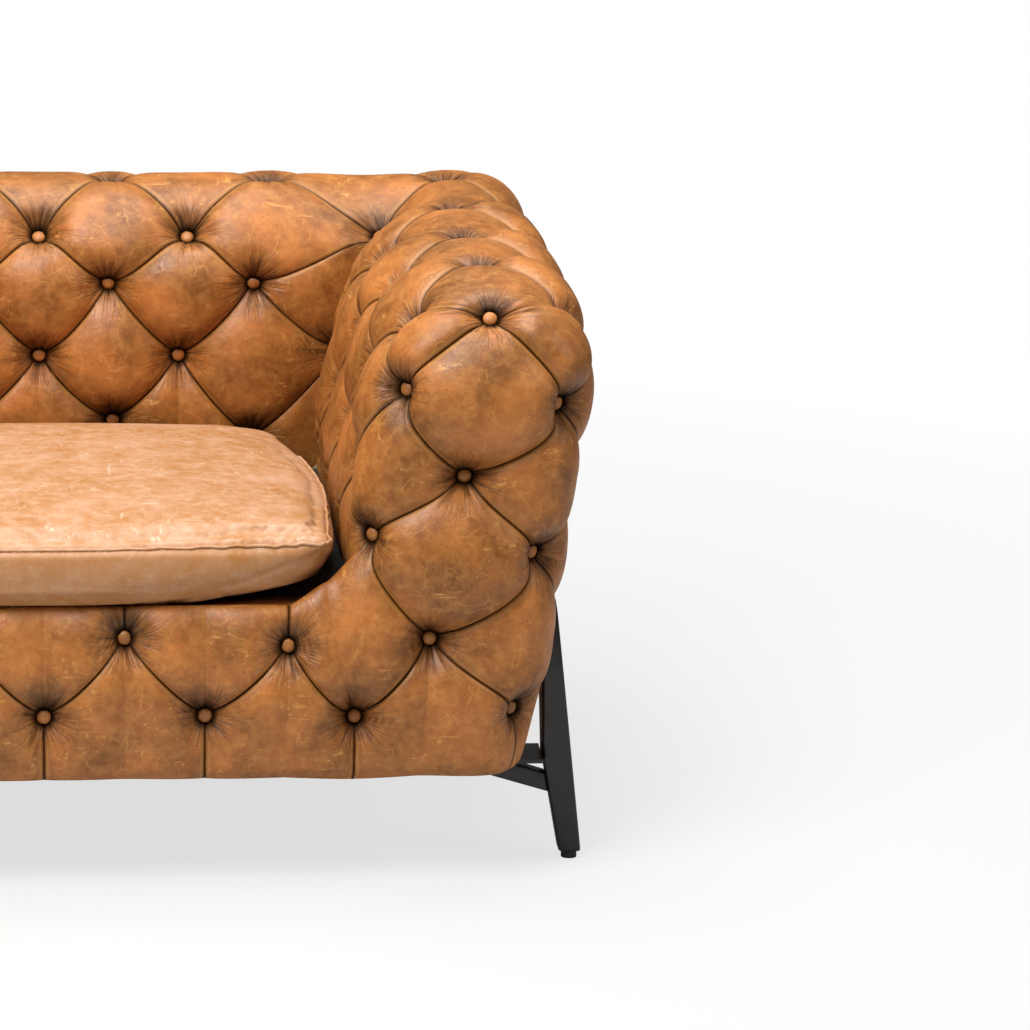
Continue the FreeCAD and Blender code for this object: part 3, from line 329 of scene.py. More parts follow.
def new_material(name):
    """Make an empty material, and return it with its tree, shader and Object coordinates."""
    material = bpy.data.materials.new(name)
    material.use_nodes = True
    tree = material.node_tree
    tree.nodes.clear()
    shader = add(tree, "ShaderNodeBsdfPrincipled")
    add(tree, "ShaderNodeOutputMaterial", {"Surface": shader.outputs[0]})
    place = add(tree, "ShaderNodeTexCoord").outputs["Object"]
    return material, tree, shader, place


def coat(tree, shader, colour, roughness, height=None, strength=0.0, depth=0.0):
    """Give a shader its colour, its roughness and, if it has one, a relief of a real depth in metres."""
    tree.links.new(colour, shader.inputs["Base Color"])
    if isinstance(roughness, bpy.types.NodeSocket):
        tree.links.new(roughness, shader.inputs["Roughness"])
    else:
        shader.inputs["Roughness"].default_value = roughness
    if height is not None:
        relief = add(tree, "ShaderNodeBump", {"Height": height, "Strength": strength, "Distance": depth})
        tree.links.new(relief.outputs[0], shader.inputs["Normal"])


def noise(tree, place, size, detail=4.0, rough=0.55, distortion=0.0):
    """Add noise whose features are of a real size in metres."""
    return add(tree, "ShaderNodeTexNoise", {
        "Vector": place, "Scale": 1 / size, "Detail": detail, "Roughness": rough,
        "Distortion": distortion}).outputs["Fac"]


def stretched(tree, place, turn, stretch):
    """Turn a place about all axes and stretch it along one, for marks that run one way."""
    return add(tree, "ShaderNodeMapping", {"Vector": place, "Rotation": turn, "Scale": stretch}).outputs[0]


def scratches(tree, place):
    """Return pale marks: the edges of warped cells, thin and broken, and a few long strokes."""
    warp = add(tree, "ShaderNodeTexNoise", {
        "Vector": place, "Scale": 1 / SCRATCH_WARP, "Detail": 3.0}).outputs["Color"]
    shift = add(tree, "ShaderNodeVectorMath", {0: warp, "Scale": SCRATCH_WARP}, operation="SCALE").outputs[0]
    warped = add(tree, "ShaderNodeVectorMath", {0: place, 1: shift}, operation="ADD").outputs[0]
    crackle = add(tree, "ShaderNodeTexVoronoi", {"Vector": warped, "Scale": 1 / SCRATCH_CELL},
                  feature="DISTANCE_TO_EDGE").outputs["Distance"]
    lines = ramp(tree, crackle, (0.0, 0.7), (0.030, 0.0))
    broken = ramp(tree, noise(tree, place, 0.028, 3), (0.47, 0.0), (0.62, 1.0))
    marks = times(tree, lines, broken)
    for turn, stretch in STROKES:
        strokes = noise(tree, stretched(tree, place, turn, stretch), 1.0, 2, 0.5)
        where = ramp(tree, noise(tree, place, 0.05, 2), (0.5, 0.0), (0.64, 1.0))
        strokes = times(tree, ramp(tree, strokes, (0.63, 0.0), (0.70, 1.0)), where)
        marks = maths(tree, "MAXIMUM", marks, strokes)
    return marks


def aniline_leather(name, main, dark, pale, fold, worn, tufted, with_border_shade=False):
    """Waxed aniline leather, drum-dyed and pulled over wadding.

    The wax gives uneven cloudy tones, pale marks where it is scratched and soft broad highlights. The dark
    folds are painted shade, and the pale line beside each pleat is rubbed leather with a painted highlight.
    """
    material, tree, shader, place = new_material(name)
    cloud = ramp(tree, noise(tree, place, 0.075, 5, 0.6), (0.36, 0.0), (0.66, 1.0))
    colour = blend(tree, cloud, dark, main)
    mottle = ramp(tree, noise(tree, place, 0.016, 6, 0.7), (0.42, 0.0), (0.75, 1.0))
    colour = blend(tree, times(tree, mottle, 0.30 + 0.25 * worn), colour, pale)
    spots = ramp(tree, noise(tree, place, 0.006, 3, 0.6), (0.35, 1.0), (0.5, 0.0))
    colour = blend(tree, times(tree, spots, 0.22), colour, dark)
    marks = scratches(tree, place)
    colour = blend(tree, times(tree, marks, 0.55), colour, pale)
    # Painted shade on the cushion's border, darkest under the top seam
    if with_border_shade:
        colour = blend(tree, times(tree, field(tree, "border"), 0.6), colour, dark)

    height = times(tree, noise(tree, place, 0.0035, 4, 0.6), 0.25)
    height = maths(tree, "ADD", height, times(tree, noise(tree, place, 0.014, 3, 0.5), 0.55))
    height = maths(tree, "SUBTRACT", height, times(tree, marks, 0.10))
    if tufted:
        # Fine folds run out from each button as bumps, with painted shade in their grooves
        crease, pucker = field(tree, "crease"), field(tree, "pucker")
        rays = noise(tree, field(tree, "bearing", "Vector"), 0.30, 3, 0.6)
        ridges = maths(tree, "ABSOLUTE", maths(tree, "SUBTRACT", rays, 0.5))
        rays_height = times(tree, ramp(tree, ridges, (0.0, 0.0), (0.07, 1.0)), pucker)
        height = maths(tree, "ADD", height, times(tree, rays_height, 1.6))
        ray_groove_shade = times(tree, ramp(tree, ridges, (0.0, 1.0), (0.045, 0.0)), pucker)
        # Pale line beside each pleat: rubbed leather and a painted highlight
        colour = blend(tree, times(tree, field(tree, "rim"), 0.5), colour, pale)
        colour = blend(tree, times(tree, ray_groove_shade, 0.85), colour, fold)
        colour = blend(tree, times(tree, field(tree, "shade"), 0.8), colour, fold)
        # Painted shade in the pleats, the button funnels and the long folds, which also lose their specular
        colour = blend(tree, crease, colour, fold)
        dull = maths(tree, "SUBTRACT", 1.0, crease, clamp=True)
        tree.links.new(times(tree, dull, 0.42), shader.inputs["Specular IOR Level"])
    gloss = ramp(tree, noise(tree, place, 0.03, 4), (0.3, 0.40), (0.7, 0.56))
    coat(tree, shader, colour, gloss, height, 0.55, 0.0016)
    shader.inputs["IOR"].default_value = 1.5
    return material


def enamelled_steel(name, colour):
    """Steel under baked satin enamel: near black, with soft highlights and a faint orange-peel."""
    material, tree, shader, place = new_material(name)
    worn = ramp(tree, noise(tree, place, 0.012, 5, 0.65), (0.6, 0.0), (0.78, 1.0))
    tone = blend(tree, times(tree, worn, 0.4), colour, linear("2B2B2E"))
    gloss = ramp(tree, noise(tree, place, 0.008, 4), (0.3, 0.28), (0.7, 0.42))
    coat(tree, shader, tone, gloss, noise(tree, place, 0.0022, 2), 0.12, 0.0004)
    return material


def sawn_hardwood(name, colour, grain_turn):
    """Planed and sawn hardwood: long grain lines across the tone, and a dull surface."""
    material, tree, shader, place = new_material(name)
    grain = noise(tree, stretched(tree, place, grain_turn, (6, 130, 130)), 1.0, 5, 0.6, 0.6)
    tone = blend(tree, ramp(tree, grain, (0.35, 0.0), (0.7, 1.0)), linear("8A6134"), colour)
    coat(tree, shader, tone, 0.68, grain, 0.3, 0.0005)
    return material


def felted_foam(name, colour):
    """Foam wrapped in upholsterer's felt: brown, with paler fibres and no gloss."""
    material, tree, shader, place = new_material(name)
    fibres = noise(tree, place, 0.003, 5, 0.7)
    coat(tree, shader, blend(tree, fibres, colour, linear("CDBB8C")), 0.95, fibres, 0.6, 0.001)
    return material


def woven_cloth(name, colour, thread):
    """Plain-woven cloth: crossing threads, drawn coarser than they are so that they show, and no gloss."""
    material, tree, shader, place = new_material(name)
    split = add(tree, "ShaderNodeSeparateXYZ", {0: place})
    threads = [maths(tree, "SINE", times(tree, split.outputs[axis], 2 * math.pi / thread)) for axis in (0, 1)]
    weave = times(tree, *threads)
    tone = maths(tree, "MULTIPLY_ADD", weave, 0.25, 0.5)
    coat(tree, shader, blend(tree, tone, colour, linear("3A3734")), 0.9, weave, 0.4, 0.0006)
    return material


def zinc_plate(name):
    """Zinc-plated steel: grey metal with a fine brushed sheen."""
    material, tree, shader, place = new_material(name)
    brushed = noise(tree, stretched(tree, place, (0, 0, 0), (900, 900, 60)), 1.0, 2)
    tone = blend(tree, brushed, linear("8C8F92"), linear("B9BCBE"))
    coat(tree, shader, tone, ramp(tree, brushed, (0.3, 0.3), (0.7, 0.5)))
    shader.inputs["Metallic"].default_value = 1.0
    return material


def moulded_nylon(name):
    """Moulded nylon: black with a dull, faintly grained surface."""
    material, tree, shader, place = new_material(name)
    grain = noise(tree, place, 0.0015, 2)
    coat(tree, shader, blend(tree, grain, linear("101011"), linear("1D1D1F")), 0.55, grain, 0.2, 0.0003)
    return material


FINISHES = {}                   # the finishes made so far


def finish(name):
    """Return a finish, made once."""
    if name in FINISHES:
        return FINISHES[name]
    tones = bpy.context.scene.chair_colours
    fold = linear(tones.fold)
    main, dark, pale = linear(tones.leather), linear(tones.leather_dark), linear(tones.leather_pale)
    makers = {
        "tufted_leather": lambda: aniline_leather("waxed_aniline_leather", main, dark, pale, fold, 0.3, True),
        "button_leather": lambda: aniline_leather("button_leather", main, dark, pale, fold, 0.2, False),
        "cushion_leather": lambda: aniline_leather(
            "sat_on_leather", linear(tones.cushion), linear(tones.cushion_dark), linear(tones.cushion_pale),
            fold, 0.8, False, True),
        "black_steel": lambda: enamelled_steel("baked_enamel", linear(tones.enamel)),
        "timber": lambda: sawn_hardwood("sawn_beech", linear(tones.timber), (0, 0, 0)),
        "plywood": lambda: sawn_hardwood("birch_plywood", linear("CDAE80"), (0, 0, math.pi / 2)),
        "foam": lambda: felted_foam("felted_foam", linear(tones.foam)),
        "webbing": lambda: woven_cloth("elastic_webbing", linear("1E1B18"), 0.003),
        "dust_cloth": lambda: woven_cloth("dust_cloth", linear("0C0C0C"), 0.002),
        "zinc_screws": lambda: zinc_plate("zinc_plate"),
        "glide_plastic": lambda: moulded_nylon("moulded_nylon"),
    }
    FINISHES[name] = makers[name]()
    return FINISHES[name]


# The lattice of buttons
def rise_of(row):
    """Return how far a row lies over the underside."""
    sizes = bpy.context.scene.chair_tufting
    return {EDGE_ROW: sizes.edge_row, TOP_ROW: sizes.top_row}.get(row, sizes.first_row + row * sizes.row)


def lattice_place(k, c, rise):
    """Return the point of the lattice at a rise, before edges are rounded.

    The outer faces lean evenly. The inner faces stand upright at the seat and flare out towards the top.
    """
    sizes = bpy.context.scene.chair_tufting
    column = sizes.column
    out = sizes.lean * rise
    if abs(k) < ARM_INNER:
        out *= (abs(k) / ARM_INNER) ** LEAN_ONSET
        if c in (BACK_INNER, BACK_MIDDLE):
            column = np.interp(rise, *zip(*BACK_COLUMNS))
    elif abs(k) < ARM_OUTER and c <= BACK_INNER:
        out -= np.interp(rise, *zip(*(INNER_UPRIGHT if abs(k) == ARM_INNER else MIDDLE_UPRIGHT)))
    across = math.copysign(abs(k) * column + out, k)
    return np.array([across, FRONT_LINE + c * sizes.depth_column, UNDERSIDE + rise])


def close_behind(k, c, r):
    """Tell whether foam lies close behind a button: everywhere but on edges, arm ends and inner arm faces."""
    return len(faces_at(k, c, r)) == 1 and abs(k) != ARM_INNER and (abs(k) != ARM_MIDDLE or r == TOP_ROW)


def faces_at(k, c, r):
    """Return the outward directions of the faces that meet at a lattice point."""
    side, lean = math.copysign(1.0, k), bpy.context.scene.chair_tufting.lean
    faces = []
    if abs(k) == ARM_OUTER:
        faces.append((side, 0, -lean))
    if abs(k) == ARM_INNER and c <= BACK_INNER and (c > 0 or r > 0):
        faces.append((-side, 0, lean))
    if c == 0:
        faces.append((0, -1, 0))
    if c == REAR:
        faces.append((0, 1, 0))
    if c == BACK_INNER and abs(k) <= ARM_INNER:
        faces.append((0, -1, 0))
    if r >= EDGE_ROW:
        faces.append((0, 0, 1))
    return [np.array(face, dtype=float) for face in faces]


def unit(vectors):
    """Scale vectors to a length of one."""
    return vectors / np.maximum(np.linalg.norm(vectors, axis=-1, keepdims=True), 1e-9)


def knot(k, c, r):
    """Return the place of a button and the way it faces."""
    sizes = bpy.context.scene.chair_tufting
    faces = faces_at(k, c, r)
    if (abs(k), c, r) == END_BUTTON:
        place = lattice_place(k, c, sizes.end_top) + np.array([0, sizes.end_setback, 0])
        return place, unit(END_FACING)
    stray = np.array(STRAYS.get((abs(k), c, r), (0.0, 0.0, 0.0))) * (math.copysign(1.0, k), 1.0, 1.0)
    place = lattice_place(k, c, rise_of(r)) + stray
    if close_behind(k, c, r):
        place = place + faces[0] * sizes.padding
    normal = unit(sum(faces))
    if len(faces) > 1:
        inset = sizes.inset * (OUTER_INSET if abs(k) == ARM_OUTER and r == EDGE_ROW else 1)
        place = place - sum(faces) * LEVEL * inset
    return place, normal


def solid_tree(node):
    """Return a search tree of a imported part's mesh, made once."""
    if node not in TREES:
        form = bmesh.new()
        form.from_mesh(frame["nodes"][node].data)
        TREES[node] = BVHTree.FromBMesh(form)
        form.free()
    return TREES[node]


def depth_at(key):
    """Return how deep a button is drawn in: no further than the foam behind the leather allows."""
    if key not in DEPTHS:
        sizes = bpy.context.scene.chair_tufting
        place, normal = knot(*key)
        hits = [solid_tree(node).ray_cast(Vector(place + normal * REACH), Vector(-normal), 2 * REACH)[3]
                for node in ("arm_foam_left", "arm_foam_right", "back_foam", "front_rail_foam")]
        room = [hit - REACH - sizes.foam_gap for hit in hits if hit is not None]
        DEPTHS[key] = max(0.0, min([sizes.funnel] + room))
    return DEPTHS[key]


def grid_faces(index):
    """Return the faces between the points of a grid, from the grid of their indices."""
    return np.stack([index[:-1, :-1], index[:-1, 1:], index[1:, 1:], index[1:, :-1]], axis=-1).reshape(-1, 4)


class Leather:
    """A tufted cover, gathered cell by cell before it becomes one mesh."""

    def __init__(self):
        self.points, self.faces, self.count = [], [], 0
        self.fields = {name: [] for name in (*LEATHER_FIELDS, "bearing", "edge")}

    def take(self, grid, **fields):
        """Add a grid of points with its fields."""
        rows, columns = grid.shape[:2]
        index = np.arange(rows * columns).reshape(rows, columns) + self.count
        self.points.append(grid.reshape(-1, 3))
        self.faces.append(grid_faces(index))
        for name, values in fields.items():
            self.fields[name].append(values.reshape(rows * columns, -1))
        self.count += rows * columns

    def take_plain(self, grid):
        """Add a grid of points without pleats or buttons."""
        plain = np.zeros(grid.shape[:2])
        self.take(grid, bearing=np.zeros(grid.shape), **{name: plain for name in (*LEATHER_FIELDS, "edge")})


def spread(steps):
    """Return places from 0 to 1 that lie closer together near both ends."""
    even = np.linspace(0, 1, steps + 1)
    return EVEN_SHARE * even + (1 - EVEN_SHARE) * (0.5 - 0.5 * np.cos(np.pi * even))


def seed_of(*numbers):
    """Return a seed that depends on lattice numbers."""
    value = 7
    for number in numbers:
        value = (value * 1009 + int(number) + 64) % 2147483647
    return value


def by_chance(chance, least, spread):
    """Return a share between a least value and that value plus its spread."""
    return least + spread * chance.random()


class Side:
    """One side of a cell as points and normals, from its start to its end."""
    # Build the chair.

    def __init__(self, points, normals):
        self.points, self.normals = points, normals

    def __add__(self, other):
        return Side(np.vstack([self.points, other.points[1:]]), np.vstack([self.normals, other.normals[1:]]))

    def turned(self):
        """Return the side from its end to its start."""
        return Side(self.points[::-1], self.normals[::-1])


def curve(start, end, steps, sag=0.0, lift=0.0, seed=0):
    """Return a side that hugs the surface from one place and normal to another."""
    (first, first_normal), (last, last_normal) = start, end
    t = spread(steps)[:, None]
    chord = last - first
    reach = np.linalg.norm(chord)
    leave = chord - chord.dot(first_normal) * first_normal
    arrive = chord - chord.dot(last_normal) * last_normal
    leave, arrive = unit(leave) * reach, unit(arrive) * reach
    points = ((2 * t ** 3 - 3 * t ** 2 + 1) * first + (t ** 3 - 2 * t ** 2 + t) * leave
              + (3 * t ** 2 - 2 * t ** 3) * last + (t ** 3 - t ** 2) * arrive)
    normals = unit((1 - t) * first_normal + t * last_normal)
    middle = unit(first_normal + last_normal)
    down = np.array([0, 0, -1.0]) + middle[2] * middle
    chance = np.random.default_rng(seed)
    hump = 4 * t * (1 - t)
    skew = 1 + SKEW * (chance.random() - 0.5) * (2 * t - 1)
    points = points + down * sag * by_chance(chance, *SAG_CHANCE) * hump * skew
    points = points + normals * lift * by_chance(chance, *LIFT_CHANCE) * hump ** HUMP * skew
    return Side(points, normals)


def pleat(one, other, steps):
    """Return the pleat from one button to another, the same whichever way it is asked for."""
    sizes = bpy.context.scene.chair_tufting
    first, second = sorted((one, other))
    made = curve(end_of(first, second), end_of(second, first), steps, sizes.sag, sizes.pleat_lift,
                 seed_of(*first, *second))
    return made if first == one else made.turned()


def end_of(one, other):
    """Return a pleat's end. In the hollow between arm and back it faces as the side that it runs on does."""
    place, normal = knot(*one)
    if abs(one[0]) == ARM_INNER and one[1] == BACK_INNER:
        others = [tuple(face) for face in faces_at(*other)]
        shared = [face for face in faces_at(*one) if tuple(face) in others]
        normal = unit(sum(shared or faces_at(*one)))
    return place, normal


def swelling(places, low, high, power=3.2, roundness=0.6):
    """Return how full a cell is across one direction. An open end stays as full as it is told."""
    full = np.clip(1 - np.abs(2 * places - 1) ** power, 0, 1) ** roundness
    start = np.where(places < 0.5, low + (1 - low) * full, full)
    return np.where(places >= 0.5, high + (1 - high) * full, start)


def coons(bottom, right, top, left, s, t):
    """Fill four sides with a smooth sheet of points."""
    s, t = s[None, :, None], t[:, None, None]
    lower, upper = (1 - s) * bottom[0] + s * bottom[-1], (1 - s) * top[0] + s * top[-1]
    corners = (1 - t) * lower + t * upper
    return (1 - t) * bottom[None] + t * top[None] + (1 - s) * left[:, None] + s * right[:, None] - corners


def distance_to(points, place):
    """Return the distances of points to a place."""
    return np.linalg.norm(points - place, axis=-1)


def folds_at(key):
    """Return the long folds that run out from a button: the way, the reach and the depth of each."""
    if (abs(key[0]), key[1], key[2]) == END_BUTTON:
        return [(turn, *END_FOLD) for turn in END_FOLDS]
    chance = np.random.default_rng(seed_of(*key, 31))
    return [(chance.uniform(0, 2 * math.pi), chance.uniform(*FOLD_REACH), chance.uniform(*FOLD_DEPTH))
            for _ in range(chance.integers(4, 8))]


class Fields:
    """What the leather carries at its points: creases and soft shade, both painted, rims that are rubbed and
    carry a painted highlight, puckers and bearings.
    """

    def __init__(self, shape):
        self.crease, self.pucker, self.shade = np.zeros(shape), np.zeros(shape), np.zeros(shape)
        self.bearing = np.zeros((*shape, 3))

    def darken(self, name, values):
        """Raise a field to new values where they are higher."""
        setattr(self, name, np.maximum(getattr(self, name), values))


def draw_in(points, base, key, fields):
    """Draw the leather in at a button, with the puckers and long folds that run out from it."""
    sizes = bpy.context.scene.chair_tufting
    place, normal = knot(*key)
    away = distance_to(base, place)
    draw = depth_at(key) * np.exp(-(away / sizes.funnel_radius) ** 2)
    points = points - normal * draw[..., None]
    offset = base - place
    offset = offset - (offset @ normal)[..., None] * normal
    across = unit(np.cross(normal, [0.0, 0.1, 1.0]))
    upward = np.cross(normal, across)
    right, up = offset @ across, offset @ upward
    angle = np.arctan2(up, right)
    chance = np.random.default_rng(seed_of(*key))
    wave = sum(chance.uniform(*PUCKER_SHARES) * np.cos(count * angle + chance.uniform(0, 2 * math.pi))
               for count in PUCKERS) / PUCKER_SUM
    fade = np.clip(away / PUCKER_START, 0, 1) ** 2 * np.exp(-(away / PUCKER_REACH) ** 2)
    points = points + normal * (sizes.pucker * wave * fade)[..., None]
    # Painted shade: a dark ring in the funnel round the button
    fields.darken("crease", np.exp(-(away / BUTTON_DARK) ** 8))
    for turn, reach, depth in folds_at(key):
        ahead = right * math.cos(turn) + up * math.sin(turn)
        beside = up * math.cos(turn) - right * math.sin(turn)
        beside = beside + ahead ** 2 * math.sin(3 * turn) * 3
        fade = np.clip((ahead - FOLD_START) / FOLD_EASE, 0, 1) * np.clip(1 - ahead / reach, 0, 1) ** 0.6
        points = points - normal * (depth * np.exp(-(beside / FOLD_WIDTH) ** 2) * fade)[..., None]
        # Painted shade along the groove of the long fold
        fields.darken("crease", FOLD_GREY * np.exp(-(beside / FOLD_LINE) ** 2) * fade)
    over = np.clip(-up / np.maximum(away, 1e-9), 0, 1)
    under = SHADE_ABOVE + (1 - SHADE_ABOVE) * over
    fields.darken("shade", under * np.exp(-(away / BUTTON_SHADE) ** 3))
    strength = np.exp(-(away / RAY_REACH) ** 2)
    direction = np.stack([np.cos(angle), np.sin(angle), away * 4 + sum(key) * 1.7], axis=-1)
    fields.bearing = np.where((strength > fields.pucker)[..., None], direction, fields.bearing)
    fields.darken("pucker", strength)
    return points


def fill_cell(leather, bottom, right, top, left, knots, crown, seed, open_ends=(0, 0, 0, 0), press=None):
    """Add one tuft between four sides, puffed up, drawn in at its buttons and pleated at its rim."""
    sizes = bpy.context.scene.chair_tufting
    columns, rows = len(bottom.points), len(left.points)
    s, t = side_places(columns), side_places(rows)
    points = coons(bottom.points, right.points, top.points, left.points, s, t)
    normals = unit(coons(bottom.normals, right.normals, top.normals, left.normals, s, t))
    chance = np.random.default_rng(seed)
    low_s, high_s, low_t, high_t = open_ends
    full = swelling(s, low_s, high_s)[None, :] * swelling(t, low_t, high_t)[:, None]
    height = crown * by_chance(chance, *CROWN_CHANCE) * full
    base = points.copy()
    for key in knots:
        place = knot(*key)[0]
        taper = np.where(base[..., 2] > place[2], TAPER_ABOVE, TAPER_BELOW) * sizes.taper
        height = height * (1 - np.exp(-(distance_to(base, place) / taper) ** 2))
    points = points + normals * height[..., None]

    fields = Fields(points.shape[:2])
    for key in knots:
        points = draw_in(points, base, key, fields)
    depth = rim_distance(points, open_ends)
    # Painted shade: a dark line in each pleat and a soft shade beside it
    fields.darken("crease", PLEAT_BLACK * np.exp(-(depth / PLEAT_DARK) ** 2))
    fields.darken("shade", PLEAT_GREY * np.exp(-(depth / PLEAT_SHADE) ** 2))
    # Pale line beside the pleats, clear of buttons: rubbed leather and a painted highlight
    rim = np.exp(-((depth - RIM_PLACE) / RIM_WIDTH) ** 2) * (1 - np.clip(fields.pucker * RIM_CLEAR, 0, 1))
    if press is not None:
        points = press(points, normals)
    edge = np.zeros(points.shape[:2])
    edge[0, :] = edge[-1, :] = edge[:, 0] = edge[:, -1] = 1
    row, column = rows // 2, columns // 2
    face = np.cross(points[row, column + 1] - points[row, column - 1],
                    points[row + 1, column] - points[row - 1, column])
    carried = {**vars(fields), "rim": rim, "edge": edge}
    if face @ normals[row, column] < 0:
        points = points[:, ::-1]
        carried = {name: values[:, ::-1] for name, values in carried.items()}
    leather.take(points, **carried)


def side_places(count):
    """Return the places along a side of one pleat, or of two pleats end to end."""
    steps = bpy.context.scene.chair_tufting.cell_steps
    if count == 2 * steps + 1:
        half = spread(steps) / 2
        return np.concatenate([half, 0.5 + half[1:]])
    return spread(count - 1)


def rim_distance(points, open_ends):
    """Return how far each point of a cell lies from its pleats, along the cell."""
    def run(steps):
        return np.concatenate([np.zeros((steps.shape[0], 1)), np.cumsum(steps, axis=1)], axis=1)

    across = run(np.linalg.norm(np.diff(points, axis=1), axis=-1))
    along = run(np.linalg.norm(np.diff(points, axis=0), axis=-1).T).T
    ways = []
    low_s, high_s, low_t, high_t = open_ends
    if not low_s:
        ways.append(across)
    if not high_s:
        ways.append(across[:, -1:] - across)
    if not low_t:
        ways.append(along)
    if not high_t:
        ways.append(along[-1:] - along)
    return np.minimum.reduce(ways)


def diamond(leather, left, bottom, right, top, crown, press=None):
    """Add a tuft between four buttons."""
    steps = bpy.context.scene.chair_tufting.cell_steps
    fill_cell(leather, pleat(bottom, right, steps), pleat(right, top, steps), pleat(left, top, steps),
              pleat(bottom, left, steps), (left, bottom, right, top), crown, seed_of(*left, *right, *top),
              press=press)


def triangle(leather, apex, one, other, crown):
    """Add a tuft between three buttons."""
    steps = bpy.context.scene.chair_tufting.cell_steps
    place, normal = knot(*apex)
    point = Side(np.repeat(place[None], steps + 1, axis=0), np.repeat(normal[None], steps + 1, axis=0))
    fill_cell(leather, pleat(apex, one, steps), pleat(one, other, steps), pleat(apex, other, steps), point,
              (apex, one, other), crown, seed_of(*apex, *one, *other))


def below(key, rise, other=None):
    """Return the place under a button at a rise, and the way it faces there towards another button."""
    place, normal = knot(*key)
    k, c, _ = key
    level = lattice_place(k, c, rise)
    shift = place - lattice_place(k, c, rise_of(key[2]))
    normal = unit(normal * LEVEL)
    facing = end_of(key, other)[1] if other else normal
    return level + shift - normal * HEM_BACK, unit(facing * LEVEL)


def drop(key, rise, steps):
    """Return the upright pleat from a hem up to a button."""
    return curve(below(key, rise), knot(*key), steps, 0.0, HEM_LIFT, seed_of(*key, 3))


def turn_under(points, normals):
    """Round the leather under where it ends at the underside."""
    radius = bpy.context.scene.chair_tufting.hem_round
    left = np.clip(1 - (points[..., 2] - UNDERSIDE - HEM_RISE) / radius, 0, 1)
    level = unit(normals * LEVEL)
    return points - level * (radius * (1 - np.sqrt(1 - left ** 2)))[..., None]


def press_and_turn(points, normals):
    """Round the leather under and press it flat behind the legs."""
    return leg_press(turn_under(points, normals), normals)


def hem_cell(leather, left, top, right, rise, crown, press=None):
    """Add a tuft between two buttons, the one between them in the next row up, and the hem below."""
    steps = bpy.context.scene.chair_tufting.cell_steps
    foot = steps // 2
    middle = below_between(top, rise)
    hem = curve(below(left, rise), middle, steps) + curve(middle, below(right, rise), steps)
    roof = pleat(left, top, steps) + pleat(top, right, steps)
    fill_cell(leather, hem, drop(right, rise, foot), roof, drop(left, rise, foot), (left, top, right), crown,
              seed_of(*left, *top, *right, 5), FOOT_OPEN, press)
    if rise == HEM_RISE:
        level = hem.normals * LEVEL
        start = hem.points - level * (bpy.context.scene.chair_tufting.hem_round - HEM_LAP)
        strip = np.stack([start - level * HEM_TUCK, start])
        if np.cross(strip[0, 1] - strip[0, 0], strip[1, 0] - strip[0, 0])[2] > 0:
            strip = strip[::-1]
        leather.take_plain(strip)


def below_between(top, rise):
    """Return the place and normal on the hem under a button, round a corner if there is one."""
    _, normal = knot(*top)
    k, c, _ = top
    level = lattice_place(k, c, rise)
    faces = faces_at(k, c, 1)
    normal = unit(normal * LEVEL)
    inset = bpy.context.scene.chair_tufting.inset
    for face in faces if len(faces) > 1 else ():
        level = level - face * LEVEL * inset
    return level - normal * CORNER_BACK, normal


def leg_press(points, _):
    """Press the leather flat where a leg lies against it."""
    out = points.copy()
    for end in ("front", "rear"):
        low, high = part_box("leg_%s_right" % end)
        middle, half, top = (low.y + high.y) / 2, (high.y - low.y) / 2, high.z
        rise = np.clip((points[..., 2] - UNDERSIDE) / (top - UNDERSIDE), 0, 1)
        face = LEG_KNEE + (LEG_TOP - LEG_KNEE) * rise
        beside = np.maximum(np.abs(points[..., 1] - middle) - half, 0)
        over = np.maximum(points[..., 2] - top, 0)
        limit = face + (np.hypot(beside, over) / LEG_EASE) ** 2 * LEG_SWELL
        side = np.sign(points[..., 0])
        out[..., 0] = side * np.minimum(side * out[..., 0], limit)
    return out


def signed(side, cells):
    """Mirror lattice points to one side."""
    return tuple((side * k, c, r) for k, c, r in cells)


